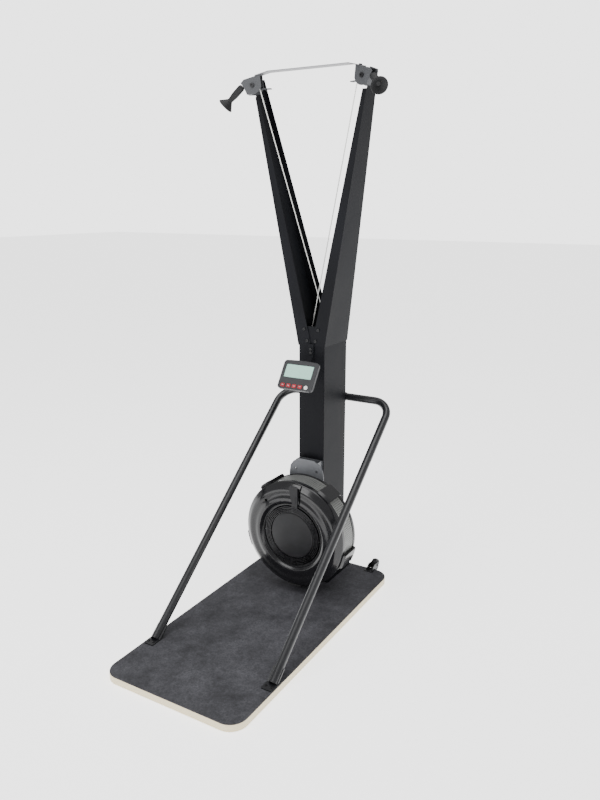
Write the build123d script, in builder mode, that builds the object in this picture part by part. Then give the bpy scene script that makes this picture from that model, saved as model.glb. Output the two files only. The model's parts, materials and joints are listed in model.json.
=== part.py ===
from build123d import *
from math import acos, asin, atan2, cos, hypot, radians, sin
import os

# Ski trainer: a standing, air-braked pulling machine on its own floor platform.
# Millimetres. +X is to the right of a person who faces it, +Y away from them, +Z up.
# The origin is the centre of the platform's underside.

# ---------------------------------------------------------------- driving dimensions
PLATFORM_WIDTH = 600
PLATFORM_LENGTH = 1220
PLATFORM_CORNER = 65
PLYWOOD = 27
MAT = 2
DECK = PLYWOOD + MAT                      # height of the walking surface

COLUMN_HALF = 61.5                        # half the width of the folded column
COLUMN_FRONT = 400
COLUMN_REAR = 603
COLUMN_TOP = 1185
COLUMN_WALL = 2.5
FLANGE = 5                                # base flange thickness

ARM_FOOT = 1102                           # height where the arms leave the column
ARM_TOP = 2165
SHEET = 2                                 # arm sheet thickness
ARM_OUT = 0.1837                          # outward lean of the web, per mm of height
ARM_EDGE = 0.2305                         # outward lean of the flange edges
ARM_FRONT_LEAN = 0.030                    # forward lean of the front flange
ARM_REAR_LEAN = 0.157                     # forward lean of the rear flange

HEAD_BOLT = Vector(240.3, 338.7, 2133.1)  # axle bolt of the right pulley head
HEAD_TURN = 75                            # head plates, degrees outward from straight ahead
HEAD_DEPTH = 35
HEAD_SHEET = 3
PULLEY_DEPTH = 8                          # pulley mid-plane behind the head's front face
PULLEY_WIDE = 9
PULLEY_PITCH = 24                         # radius of the cord's centre line on the pulley
PULLEY_RIM = 26.5

CORD_R = 2
DOME = (50, -9.7)                         # handle pivot seen square to the head plate
HANDLE_RIGHT = Vector(0.570, -0.687, -0.450).normalized()
HANDLE_LEFT = Vector(-0.706, -0.187, -0.684).normalized()
GRIP_DOME = 13.5                          # radius of the rounded grip end
GRIP_LENGTH = 94                          # from the dome's centre to the cup's rim
STOP_FACE = 70                            # cup bottom, from the dome's centre

FAN_Z = 300                               # height of the fan axle
FAN_R = 240
COVER_FRONT = 226
BAND_FRONT = 270
BAND_REAR = 348
HOUSING_REAR = 365
SHAFT_R = 8.5
DRUM_PITCH = 38
DRUM_WIDE = 24
FRONT_DRUM_Y = 460
REAR_DRUM_Y = 500
LANE = 6                                  # cord and bungee lie this far either side of a drum's middle
GUIDE_PITCH = 16
GUIDE_X = 22
GUIDE_Z = 1159
GUIDE_RIGHT_Y = 468                       # guide pulley of the right-hand cord
GUIDE_LEFT_Y = 476

TUBE_R = 16.85
TUBE_X = 276
TUBE_REAR = COLUMN_REAR + 3 + TUBE_R      # the hoop runs behind the column
TUBE_SLOPE = 1.202                        # run back for each mm of rise
TUBE_FOOT_Y = -348.1
TUBE_FOOT_Z = 31
TUBE_BEND = 80

CONSOLE = Vector(0, 287, 998)             # centre of the console's face
CONSOLE_TILT = 33.3
WHEEL = Vector(211, 642, 37)
WHEEL_R = 28

BASE_BOLTS = [(sx * 80, y) for sx in (-1, 1) for y in (420, 570)]
FOOT_SCREWS = [(sx * x, -373) for sx in (-1, 1) for x in (262, 285)]
WHEEL_BOLTS = [(-206, 592), (206, 592)]

NECK_BOLTS = [(33.6, 1172), (20, 1124)]    # right-hand arm; the left one mirrors them
BRACKET_BOLTS = [(30, 575), (30, 96)]
STRAP_BOLTS = [(0, 1074), (0, 1090)]
CLAMP_BOLTS = [(sx * 40, 839 + sz * 28) for sx in (-1, 1) for sz in (-1, 1)]

os.makedirs("parts", exist_ok=True)


def save(piece, label):
    piece.part.label = label
    export_step(piece.part, f"parts/{label}.step")


def save_twin(piece, label):
    twin = mirror(piece.part, about=Plane.YZ)
    twin.label = label
    export_step(twin, f"parts/{label}.step")


def save_pair(piece, stem):
    save(piece, f"{stem}_right")
    save_twin(piece, f"{stem}_left")


# ---------------------------------------------------------------- platform
with BuildPart() as plywood_platform:
    with BuildSketch(Plane.XY):
        RectangleRounded(PLATFORM_WIDTH, PLATFORM_LENGTH, PLATFORM_CORNER)
    extrude(amount=PLYWOOD)
    with Locations(*[(x, y, PLYWOOD) for x, y in BASE_BOLTS + WHEEL_BOLTS]):
        Hole(4.2)
    with Locations(*[(x, y, PLYWOOD) for x, y in FOOT_SCREWS]):
        Hole(2.7, depth=20)
save(plywood_platform, "plywood_platform")

with BuildPart() as rubber_mat:
    with BuildSketch(Plane.XY.offset(PLYWOOD)):
        RectangleRounded(PLATFORM_WIDTH - 1, PLATFORM_LENGTH - 1, PLATFORM_CORNER)
    extrude(amount=MAT)
    with Locations(*[(x, y, DECK) for x, y in BASE_BOLTS + WHEEL_BOLTS]):
        Hole(4.2)
    with Locations(*[(x, y, DECK) for x, y in FOOT_SCREWS]):
        Hole(2.7)
save(rubber_mat, "rubber_mat")

# ---------------------------------------------------------------- column
BEARING_R = 17.5
BEARING_WIDE = 10
FRONT_BEARING_Y = 401
REAR_BEARING_Y = 550
top_rear = COLUMN_REAR - ARM_REAR_LEAN * (COLUMN_TOP - ARM_FOOT)

with BuildPart() as column:
    with BuildSketch(Plane.YZ):
        Polygon(
            (COLUMN_FRONT, DECK), (COLUMN_REAR, DECK), (COLUMN_REAR, ARM_FOOT),
            (top_rear, COLUMN_TOP), (COLUMN_FRONT, COLUMN_TOP), align=None)
    extrude(amount=COLUMN_HALF, both=True)
    fillet(column.edges().filter_by(Axis.Z), 3)
    with BuildSketch(Plane.YZ):
        Polygon(
            (COLUMN_FRONT + COLUMN_WALL, DECK + FLANGE), (COLUMN_REAR - COLUMN_WALL, DECK + FLANGE),
            (COLUMN_REAR - COLUMN_WALL, ARM_FOOT), (top_rear - COLUMN_WALL, COLUMN_TOP + 1),
            (COLUMN_FRONT + COLUMN_WALL, COLUMN_TOP + 1), align=None)
    extrude(amount=COLUMN_HALF - COLUMN_WALL, both=True, mode=Mode.SUBTRACT)
    # base flange, bolted to the platform
    with BuildSketch(Plane.XY.offset(DECK)):
        with Locations((0, (385 + 608) / 2)):
            RectangleRounded(196, 608 - 385, 10)
    extrude(amount=FLANGE)
    with Locations(*[(x, y, DECK + FLANGE) for x, y in BASE_BOLTS]):
        Hole(4.2, depth=FLANGE)
    # cross plate and bosses that carry the fan shaft's bearings
    with BuildSketch(Plane.XZ.offset(-REAR_BEARING_Y)):
        with Locations((0, FAN_Z)):
            Rectangle(2 * COLUMN_HALF - 2 * COLUMN_WALL, 90)
    extrude(amount=-BEARING_WIDE)
    with BuildSketch(Plane.XZ.offset(-COLUMN_FRONT)):
        with Locations((0, FAN_Z)):
            Circle(BEARING_R + 6)
    extrude(amount=-(FRONT_BEARING_Y + BEARING_WIDE - COLUMN_FRONT))
    with BuildSketch(Plane.XZ.offset(-COLUMN_FRONT + 5)):
        with Locations((0, FAN_Z)):
            Circle(BEARING_R)
    extrude(amount=-200, mode=Mode.SUBTRACT)
    # holes for the arms, the fan brackets, the console strap and the hoop clamp
    front_holes = [(sx * x, z) for sx in (-1, 1) for x, z in NECK_BOLTS + BRACKET_BOLTS]
    with Locations(*[Location((x, COLUMN_FRONT, z), (90, 0, 0)) for x, z in front_holes + STRAP_BOLTS]):
        Hole(4.2, depth=COLUMN_WALL + 1)
    with Locations(*[Location((x, COLUMN_REAR, z), (-90, 0, 0)) for x, z in CLAMP_BOLTS]):
        Hole(4.2, depth=COLUMN_WALL + 1)
save(column, "column")

# ---------------------------------------------------------------- arms
def arm_section(z):
    outer = COLUMN_HALF + SHEET + ARM_OUT * (z - ARM_FOOT)
    edge = 1 + ARM_EDGE * (z - ARM_FOOT)
    front = COLUMN_FRONT - SHEET - ARM_FRONT_LEAN * (z - ARM_FOOT)
    rear = COLUMN_REAR + SHEET - ARM_REAR_LEAN * (z - ARM_FOOT)
    return [
        (edge, front), (outer, front), (outer, rear), (edge, rear),
        (edge, rear - SHEET), (outer - SHEET, rear - SHEET),
        (outer - SHEET, front + SHEET), (edge, front + SHEET)]


head_out = Vector(sin(radians(HEAD_TURN)), -cos(radians(HEAD_TURN)), 0)
head_back = Vector(cos(radians(HEAD_TURN)), sin(radians(HEAD_TURN)), 0)


def head_plane(depth):
    # looks at the right head from the front; local X outward, local Y up
    return Plane(origin=HEAD_BOLT + head_back * depth, x_dir=head_out, z_dir=-head_back)


HEAD_LOW = 2092 - HEAD_BOLT.Z             # the arm's front flange stops below the head
TAB_Z = 2130
TAB_X = COLUMN_HALF + ARM_OUT * (TAB_Z - ARM_FOOT)
web_plane = Plane(origin=(TAB_X, 0, TAB_Z), x_dir=(0, 1, 0), z_dir=(1, 0, -ARM_OUT))
TAB_SCREWS = [(398, -15), (398, 15)]

with BuildPart() as arm:
    for z in (ARM_FOOT, ARM_TOP):
        with BuildSketch(Plane.XY.offset(z)):
            Polygon(*arm_section(z), align=None)
    loft(ruled=True)
    with BuildSketch(head_plane(HEAD_DEPTH)):
        with Locations((0, (HEAD_LOW + 100) / 2)):
            Rectangle(160, 100 - HEAD_LOW)
    extrude(amount=90, mode=Mode.SUBTRACT)
    with Locations(*[Location((x, COLUMN_FRONT, z), (90, 0, 0)) for x, z in NECK_BOLTS]):
        Hole(4.2, depth=12)
    with BuildSketch(web_plane):
        with Locations(*TAB_SCREWS):
            Circle(3.2)
    extrude(amount=10, both=True, mode=Mode.SUBTRACT)
save_pair(arm, "arm")

# ---------------------------------------------------------------- pulley heads
STRIP = 2.5                               # thickness of the head's folded edges
TOP_RISE = 0.25                           # the top edge falls outward at this slope
TOP_INNER = (-32, 38.5)
TOP_OUTER = (36, TOP_INNER[1] - TOP_RISE * (36 - TOP_INNER[0]))
NOTCH = (35, -8)
LIP = (22, -34)
LIP_INNER = (5, -34)
AXLE_R = 5
BOSS_R = 8
FOLD = -66                                # where the crossbar bends down onto the head
TONGUE_END = -12
TONGUE_BOLT = -25


def head_point(out, up, depth):
    # a point of the right-hand head: outward, up and backward from its axle bolt
    return HEAD_BOLT + head_out * out + Vector(0, 0, up) + head_back * depth


def top_edge(out):
    return TOP_INNER[1] - TOP_RISE * (out - TOP_INNER[0])


with BuildSketch() as head_outline:
    with BuildLine():
        Polyline((-37, -5), TOP_INNER, TOP_OUTER, (48, 9), NOTCH, LIP, LIP_INNER)
        ThreePointArc(LIP_INNER, (-24.5, -24.5), (-37, -5))
    make_face()

with BuildPart() as head_cover:
    with BuildSketch(head_plane(0)):
        add(head_outline.sketch)
    extrude(amount=-HEAD_SHEET)
    with BuildSketch(head_plane(HEAD_SHEET)):
        Circle(BOSS_R)
    extrude(amount=-(PULLEY_DEPTH - PULLEY_WIDE / 2 - HEAD_SHEET - 0.1))
    with BuildSketch(head_plane(0)):
        Circle(AXLE_R)
    extrude(amount=-20, mode=Mode.SUBTRACT)
save_pair(head_cover, "head_cover")

bolt_normal = (head_out * TOP_RISE + Vector(0, 0, 1)).normalized()
tongue_plane = Plane(
    origin=head_point(TONGUE_BOLT, top_edge(TONGUE_BOLT) + HEAD_SHEET, 20), x_dir=head_back, z_dir=bolt_normal)
EAR_DROP = -14.5
ear_plane = Plane(origin=head_point(-49, EAR_DROP, 24.5), x_dir=head_out, z_dir=(0, 0, 1))
EAR_HOLE = (-13, 0)

with BuildPart() as head_shell:
    # tab inside the arm's web, trimmed by the rear plate
    with BuildSketch(web_plane):
        with Locations((390, 0)):
            Rectangle(48, 52)
    extrude(amount=-HEAD_SHEET)
    with BuildSketch(head_plane(HEAD_DEPTH - HEAD_SHEET)):
        Rectangle(200, 200)
    extrude(amount=60, mode=Mode.SUBTRACT)
    with BuildSketch(head_plane(HEAD_DEPTH - HEAD_SHEET)):
        add(head_outline.sketch)
    extrude(amount=-HEAD_SHEET)
    # folded top edge
    with BuildSketch(head_plane(HEAD_SHEET)):
        Polygon(
            TOP_INNER, TOP_OUTER, (TOP_OUTER[0], TOP_OUTER[1] - STRIP),
            (TOP_INNER[0], TOP_INNER[1] - STRIP), align=None)
    extrude(amount=-(HEAD_DEPTH - HEAD_SHEET))
    # folded lower edges
    with BuildSketch(head_plane(HEAD_SHEET)):
        Polygon(
            NOTCH, LIP, LIP_INNER, (LIP_INNER[0], LIP_INNER[1] + STRIP),
            (LIP[0] - 1.5, LIP[1] + STRIP), (NOTCH[0] - 2.8, NOTCH[1]), align=None)
    extrude(amount=-(HEAD_DEPTH - HEAD_SHEET))
    with BuildSketch(head_plane(PULLEY_DEPTH + PULLEY_WIDE / 2 + 0.1)):
        Circle(BOSS_R)
    extrude(amount=-(HEAD_DEPTH - PULLEY_DEPTH - PULLEY_WIDE / 2 - 0.1))
    with BuildSketch(ear_plane):
        RectangleRounded(48, 21, 5)
    extrude(amount=HEAD_SHEET)
    with BuildSketch(ear_plane):
        with Locations(EAR_HOLE):
            Circle(4.5)
    extrude(amount=5, both=True, mode=Mode.SUBTRACT)
    with BuildSketch(head_plane(0)):
        Circle(AXLE_R)
    extrude(amount=-HEAD_DEPTH - 5, mode=Mode.SUBTRACT)
    with BuildSketch(web_plane):
        with Locations(*TAB_SCREWS):
            Circle(3.2)
    extrude(amount=10, both=True, mode=Mode.SUBTRACT)
    with BuildSketch(tongue_plane):
        Circle(4.2)
    extrude(amount=-12, mode=Mode.SUBTRACT)
save_pair(head_shell, "head_shell")

with BuildPart() as crossbar:
    front_corner = head_point(FOLD, 0, -4)
    rear_corner = head_point(FOLD, 0, 36)
    with BuildSketch(Plane.XY.offset(HEAD_BOLT.Z + top_edge(FOLD))):
        Polygon(
            (-front_corner.X, front_corner.Y), (front_corner.X, front_corner.Y),
            (rear_corner.X, rear_corner.Y), (-rear_corner.X, rear_corner.Y), align=None)
    extrude(amount=HEAD_SHEET)
    with BuildSketch(head_plane(-4)):
        Polygon(
            (FOLD, top_edge(FOLD)), (TONGUE_END, top_edge(TONGUE_END)),
            (TONGUE_END, top_edge(TONGUE_END) + HEAD_SHEET), (FOLD, top_edge(FOLD) + HEAD_SHEET),
            align=None)
    extrude(amount=-40)
    with BuildSketch(tongue_plane):
        Circle(4.2)
    extrude(amount=12, both=True, mode=Mode.SUBTRACT)
    mirror(about=Plane.YZ)
save(crossbar, "crossbar")

# ---------------------------------------------------------------- pulleys and their bolts
head_axis = Axis(HEAD_BOLT, head_back)
with BuildPart() as pulley:
    with BuildSketch(Plane(origin=head_point(0, 0, PULLEY_DEPTH), x_dir=head_out, z_dir=(0, 0, 1))):
        half = PULLEY_WIDE / 2
        floor = PULLEY_PITCH - CORD_R - 0.5
        with BuildLine():
            Polyline((AXLE_R + 0.05, -half), (PULLEY_RIM, -half), (PULLEY_RIM, -half + 0.5), (floor, -2.7))
            ThreePointArc((floor, -2.7), (floor - 0.6, 0), (floor, 2.7))
            Polyline((floor, 2.7), (PULLEY_RIM, half - 0.5), (PULLEY_RIM, half), (AXLE_R + 0.05, half))
            Line((AXLE_R + 0.05, half), (AXLE_R + 0.05, -half))
        make_face()
    revolve(axis=head_axis)
    with BuildSketch(head_plane(PULLEY_DEPTH + half)):
        with PolarLocations(14, 5):
            Circle(3.2)
    extrude(amount=PULLEY_WIDE, mode=Mode.SUBTRACT)
save_pair(pulley, "pulley")

with BuildPart() as pulley_bolts:
    with BuildSketch(head_plane(0)):
        Circle(8.5)
    extrude(amount=5)
    with BuildSketch(head_plane(-5)):
        RegularPolygon(4, 6)
    extrude(amount=-3, mode=Mode.SUBTRACT)
    with BuildSketch(head_plane(0)):
        Circle(AXLE_R)
    extrude(amount=-HEAD_DEPTH)
    mirror(about=Plane.YZ)
save(pulley_bolts, "pulley_bolts")

# ---------------------------------------------------------------- pull cords
tangent = acos(PULLEY_PITCH / hypot(*DOME))
outlet = atan2(DOME[1], DOME[0]) + tangent          # where the cord leaves for the handle


def wheel_point(centre_x, centre_y, centre_z, radius, angle):
    # a point on a wheel that turns about a line along Y; the angle runs from +X towards +Z
    return Vector(centre_x + radius * cos(angle), centre_y, centre_z + radius * sin(angle))


def rim_point(angle):
    return head_point(PULLEY_PITCH * cos(angle), PULLEY_PITCH * sin(angle), PULLEY_DEPTH)


dome_right = head_point(DOME[0], DOME[1], PULLEY_DEPTH)
dome_left = Vector(-dome_right.X, dome_right.Y, dome_right.Z)
CORD_END = 2.2                            # the cord stops this far before the handle's pivot
cord_end = dome_right + (rim_point(outlet) - dome_right).normalized() * CORD_END
hub = head_point(0, 0, PULLEY_DEPTH)
fall_run = hypot(hub.X + GUIDE_X, hub.Z - GUIDE_Z)
fall_lean = atan2(hub.X + GUIDE_X, hub.Z - GUIDE_Z)
fall_open = asin((PULLEY_PITCH - GUIDE_PITCH) / fall_run)
inlet = radians(180) - fall_lean + fall_open        # where the falling run leaves the head pulley
drop = GUIDE_Z - FAN_Z
slant = atan2(GUIDE_X, drop) + asin((GUIDE_PITCH + DRUM_PITCH) / hypot(GUIDE_X, drop))
HALF_TURN = radians(180)
WRAP = radians(150)


EASE = 0.97                               # arcs are this much tighter, so short straights join them


def wrap_corners(point, radius, start, end):
    # corners of a line bent twice around a wheel, tangent to it at both ends
    quarter = (end - start) / 4
    return [point(radius / cos(quarter), start + quarter * step) for step in (1, 3)]


def head_corner(radius, angle):
    return head_point(radius * cos(angle), radius * sin(angle), PULLEY_DEPTH)


def route(guide_y, lane_y, leave, meet, wrap):
    # one cord's whole run, drawn on the right-hand side: handle, head pulley, guide pulley, drum
    def drum_corner(radius, angle):
        return wheel_point(0, lane_y, FAN_Z, radius, angle)

    guide_half = (leave - inlet) / 2
    guide_corner = wheel_point(
        -GUIDE_X, guide_y, GUIDE_Z, GUIDE_PITCH / cos(guide_half), inlet + guide_half)
    head_corners = wrap_corners(head_corner, PULLEY_PITCH, outlet, inlet)
    drum_corners = wrap_corners(drum_corner, DRUM_PITCH, meet, meet + wrap)
    radii = [PULLEY_PITCH * EASE] * 2 + [GUIDE_PITCH] + [DRUM_PITCH * EASE] * 2
    print("cord radii", radii)
    with BuildLine() as path:
        FilletPolyline(
            cord_end, *head_corners, guide_corner, *drum_corners, drum_corner(DRUM_PITCH, meet + wrap),
            radius=radii)
    return path


right_route = route(GUIDE_RIGHT_Y, FRONT_DRUM_Y - LANE, HALF_TURN, HALF_TURN, WRAP)
left_route = route(GUIDE_LEFT_Y, REAR_DRUM_Y - LANE, HALF_TURN + slant, slant, -WRAP)
cord_start = Plane(origin=cord_end, z_dir=rim_point(outlet) - cord_end)

with BuildPart() as drive_cord_right:
    with BuildSketch(cord_start):
        Circle(CORD_R)
    sweep(path=right_route.line)
save(drive_cord_right, "drive_cord_right")

with BuildPart() as drive_cord_left:
    with BuildSketch(cord_start):
        Circle(CORD_R)
    sweep(path=left_route.line)
save_twin(drive_cord_left, "drive_cord_left")

for name, path, cord in (("right", right_route, drive_cord_right), ("left", left_route, drive_cord_left)):
    length = sum(edge.length for edge in path.edges())
    print(name, "cord length", length)
    print("volume over section times length", cord.part.volume / (length * Circle(CORD_R).area))

# ---------------------------------------------------------------- handles
BORE_R = 2.5
NECK = 64
GRIP_NECK_R = 10.3
CUP_R = 31.75
STOP_R = 9.2
STOP_LONG = 7
MOUTH = 9.6                               # the flared mouth reaches this far back from the pivot
mouth_r = (GRIP_DOME ** 2 - MOUTH ** 2) ** 0.5


def handle_plane(pivot, along):
    # local Y runs along the handle from its pivot
    side = Vector(0, 0, 1).cross(along).normalized()
    return Plane(origin=pivot, x_dir=side, z_dir=side.cross(along))


def make_handle(pivot, along, label):
    with BuildPart() as handle:
        with BuildSketch(handle_plane(pivot, along)):
            with BuildLine():
                ThreePointArc((mouth_r, -MOUTH), ((GRIP_DOME ** 2 - 16) ** 0.5, -4), (GRIP_DOME, 0))
                Line((GRIP_DOME, 0), (GRIP_DOME, 20))
                Spline((GRIP_DOME, 20), (12.6, 42), (GRIP_NECK_R, NECK), tangents=((0, 1), (0, 1)))
                Line((GRIP_NECK_R, NECK), (CUP_R - 2, GRIP_LENGTH - 5))
                ThreePointArc((CUP_R - 2, GRIP_LENGTH - 5), (CUP_R, GRIP_LENGTH - 2), (CUP_R - 2, GRIP_LENGTH))
                Polyline(
                    (CUP_R - 2, GRIP_LENGTH), (STOP_R, STOP_FACE + STOP_LONG), (STOP_R, STOP_FACE),
                    (BORE_R, STOP_FACE), (BORE_R, 1.5), (3.2, 0), (mouth_r, -MOUTH))
            make_face()
        revolve(axis=Axis(pivot, along))
    save(handle, f"handle_{label}")

    with BuildPart() as stop:
        with BuildSketch(Plane(origin=pivot + along * STOP_FACE, z_dir=along)):
            Circle(STOP_R)
        extrude(amount=STOP_LONG - 1)
        fillet(stop.faces().sort_by(Axis(pivot, along))[-1].edges(), 2)
    save(stop, f"cord_stop_{label}")

    with BuildPart() as stub:
        with BuildSketch(Plane(origin=pivot + along * 0.4, z_dir=along)):
            Circle(CORD_R)
        extrude(amount=STOP_FACE - 0.4)
    save(stub, f"cord_stub_{label}")


make_handle(dome_right, HANDLE_RIGHT, "right")
make_handle(dome_left, HANDLE_LEFT, "left")

# ---------------------------------------------------------------- guide pulleys, drums, bungees
GUIDE_RIM = 18.5
GUIDE_HALF = 4.5
GUIDE_AXLE = 4
BACKPLATE_Y = 488


def make_guide_pulley(centre_x, centre_y, label):
    with BuildPart() as guide:
        with BuildSketch(Plane(origin=(centre_x, centre_y, GUIDE_Z), x_dir=(1, 0, 0), z_dir=(0, 0, 1))):
            Polygon(
                (GUIDE_AXLE + 0.05, -GUIDE_HALF), (GUIDE_RIM, -GUIDE_HALF), (GUIDE_RIM, -GUIDE_HALF + 1),
                (GUIDE_PITCH - CORD_R - 0.5, -2.4), (GUIDE_PITCH - CORD_R - 0.5, 2.4),
                (GUIDE_RIM, GUIDE_HALF - 1), (GUIDE_RIM, GUIDE_HALF), (GUIDE_AXLE + 0.05, GUIDE_HALF),
                align=None)
        revolve(axis=Axis((centre_x, centre_y, GUIDE_Z), (0, 1, 0)))
    save(guide, label)


make_guide_pulley(-GUIDE_X, GUIDE_RIGHT_Y, "guide_pulley_right")
make_guide_pulley(GUIDE_X, GUIDE_LEFT_Y, "guide_pulley_left")

with BuildPart() as guide_bracket:
    with BuildSketch(Plane.XZ.offset(-BACKPLATE_Y)):
        with Locations((0, GUIDE_Z)):
            Rectangle(2 * (COLUMN_HALF - COLUMN_WALL), 46)
    extrude(amount=-3)
    for x, y in ((-GUIDE_X, GUIDE_RIGHT_Y), (GUIDE_X, GUIDE_LEFT_Y)):
        with BuildSketch(Plane.XZ.offset(-BACKPLATE_Y)):
            with Locations((x, GUIDE_Z)):
                Circle(7)
        extrude(amount=BACKPLATE_Y - y - GUIDE_HALF - 0.1)
        with BuildSketch(Plane.XZ.offset(-BACKPLATE_Y)):
            with Locations((x, GUIDE_Z)):
                Circle(GUIDE_AXLE)
        extrude(amount=BACKPLATE_Y - y + GUIDE_HALF + 0.1)
        with BuildSketch(Plane.XZ.offset(-(y - GUIDE_HALF - 0.1))):
            with Locations((x, GUIDE_Z)):
                Circle(6.5)
        extrude(amount=3)
    # side wings that are welded to the column's walls
    for side in (-1, 1):
        with BuildSketch(Plane.YZ.offset(side * (COLUMN_HALF - COLUMN_WALL))):
            with Locations((BACKPLATE_Y - 12, GUIDE_Z)):
                Rectangle(30, 46)
        extrude(amount=-side * 3)
save(guide_bracket, "guide_bracket")

DRUM_FLOOR = 34.5
DRUM_FLANGE = 44
BUNGEE_R = 3
ANCHOR_Z = 1050


def make_drum(middle, label):
    half = DRUM_WIDE / 2
    with BuildPart() as drum:
        with BuildSketch(Plane(origin=(0, middle, FAN_Z), x_dir=(1, 0, 0), z_dir=(0, 0, 1))):
            Polygon(
                (SHAFT_R + 0.05, -half), (DRUM_FLANGE, -half), (DRUM_FLANGE, -half + 2),
                (DRUM_FLOOR, -half + 2), (DRUM_FLOOR, -0.75), (DRUM_FLANGE - 2, -0.75),
                (DRUM_FLANGE - 2, 0.75), (DRUM_FLOOR, 0.75), (DRUM_FLOOR, half - 2),
                (DRUM_FLANGE, half - 2), (DRUM_FLANGE, half), (SHAFT_R + 0.05, half), align=None)
        revolve(axis=Axis((0, middle, FAN_Z), (0, 1, 0)))
        with BuildSketch(Plane.XZ.offset(-(middle - half))):
            with Locations((0, FAN_Z)):
                with PolarLocations(22, 6):
                    Circle(5)
        extrude(amount=-DRUM_WIDE, mode=Mode.SUBTRACT)
    save(drum, label)


make_drum(FRONT_DRUM_Y, "front_drum")
make_drum(REAR_DRUM_Y, "rear_drum")


def bungee_route(lane_y):
    # from the anchor straight down to the drum and round under it
    def drum_corner(radius, angle):
        return wheel_point(0, lane_y, FAN_Z, radius, angle)

    with BuildLine() as path:
        FilletPolyline(
            (DRUM_PITCH, lane_y, ANCHOR_Z), *wrap_corners(drum_corner, DRUM_PITCH, 0, -WRAP),
            drum_corner(DRUM_PITCH, -WRAP), radius=[DRUM_PITCH * EASE] * 2)
    return path


with BuildPart() as return_bungees:
    for lane_y in (FRONT_DRUM_Y + LANE, REAR_DRUM_Y + LANE):
        with BuildSketch(Plane.XY.offset(ANCHOR_Z)):
            with Locations((DRUM_PITCH, lane_y)):
                Circle(BUNGEE_R)
        sweep(path=bungee_route(lane_y).line)
save(return_bungees, "return_bungees")

with BuildPart() as bungee_anchor:
    with BuildSketch(Plane.XY.offset(ANCHOR_Z)):
        with Locations(((COLUMN_HALF - COLUMN_WALL + 32) / 2, 486)):
            Rectangle(COLUMN_HALF - COLUMN_WALL - 32, 60)
    extrude(amount=3)
    with BuildSketch(Plane.YZ.offset(COLUMN_HALF - COLUMN_WALL)):
        with Locations((486, ANCHOR_Z + 12)):
            Rectangle(60, 24)
    extrude(amount=-3)
save(bungee_anchor, "bungee_anchor")

# ---------------------------------------------------------------- fan
fan_plane = Plane.XY.offset(FAN_Z)        # local X outward from the fan's axle, local Y along it
fan_axis = Axis((0, 0, FAN_Z), (0, 1, 0))
BAND_R = 238.5
SKIN = 3
OPENING_R = 146
HUB_CAP_R = 102
LEVER_R = (141, 145)
LEVER_FRONT = COVER_FRONT - 4.5
SCREW_HOLE = (-128.7, 138.5)

with BuildPart() as front_cover:
    with BuildSketch(fan_plane):
        with BuildLine():
            FilletPolyline(
                (OPENING_R, 242), (OPENING_R, 233), (158, COVER_FRONT), (170, COVER_FRONT), (186, 231.5),
                (211, 228.5), (FAN_R, 249), (FAN_R, BAND_FRONT), radius=[6, 12, 20, 25, 25, 14])
            Line((FAN_R, BAND_FRONT), (FAN_R - SKIN, BAND_FRONT))
            FilletPolyline(
                (FAN_R - SKIN, BAND_FRONT), (FAN_R - SKIN, 250.6), (210.3, 231.6), (186, 234.6),
                (169.4, COVER_FRONT + SKIN), (159, COVER_FRONT + SKIN), (OPENING_R + SKIN, 235),
                (OPENING_R + SKIN, 242), radius=[11, 22, 28, 17, 9, 3])
            Line((OPENING_R + SKIN, 242), (OPENING_R, 242))
        make_face()
    revolve(axis=fan_axis)
    with BuildSketch(Plane.XZ.offset(-200)):
        with Locations((SCREW_HOLE[0], FAN_Z + SCREW_HOLE[1])):
            Circle(6)
        with Locations((43, FAN_Z + 193)):
            SlotOverall(76, 6, rotation=90)
    extrude(amount=-60, mode=Mode.SUBTRACT)
save(front_cover, "front_cover")

RING_BACK = 239
SPOKE_ENDS = (HUB_CAP_R + 0.6, 140)
with BuildPart() as fan_grille:
    with BuildSketch(fan_plane):
        Polygon((92, RING_BACK), (104, RING_BACK), (104, 242), (92, 242), align=None)
        Polygon((137, RING_BACK), (OPENING_R, RING_BACK), (OPENING_R, 242), (137, 242), align=None)
        for radius in (109, 116, 123, 130):
            with Locations((radius, 236.5)):
                Rectangle(2, 5)
    revolve(axis=fan_axis)
    with BuildSketch(Plane.XZ.offset(-237)):
        with Locations((0, FAN_Z)):
            with PolarLocations(sum(SPOKE_ENDS) / 2, 4):
                Rectangle(SPOKE_ENDS[1] - SPOKE_ENDS[0], 3)
    extrude(amount=-4)
save(fan_grille, "fan_grille")

with BuildPart() as hub_cap:
    with BuildSketch(fan_plane):
        with BuildLine():
            Line((0, 228), (20, 228))
            ThreePointArc((20, 228), (66, 229.6), (HUB_CAP_R - 2, 234))
            Polyline((HUB_CAP_R - 2, 234), (HUB_CAP_R, 236), (HUB_CAP_R, RING_BACK), (HUB_CAP_R - 4, RING_BACK))
            Line((HUB_CAP_R - 4, RING_BACK), (HUB_CAP_R - 4, 237))
            ThreePointArc((HUB_CAP_R - 4, 237), (66, 232.6), (20, 231))
            Polyline((20, 231), (0, 231), (0, 228))
        make_face()
    revolve(axis=fan_axis)
save(hub_cap, "hub_cap")

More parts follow.
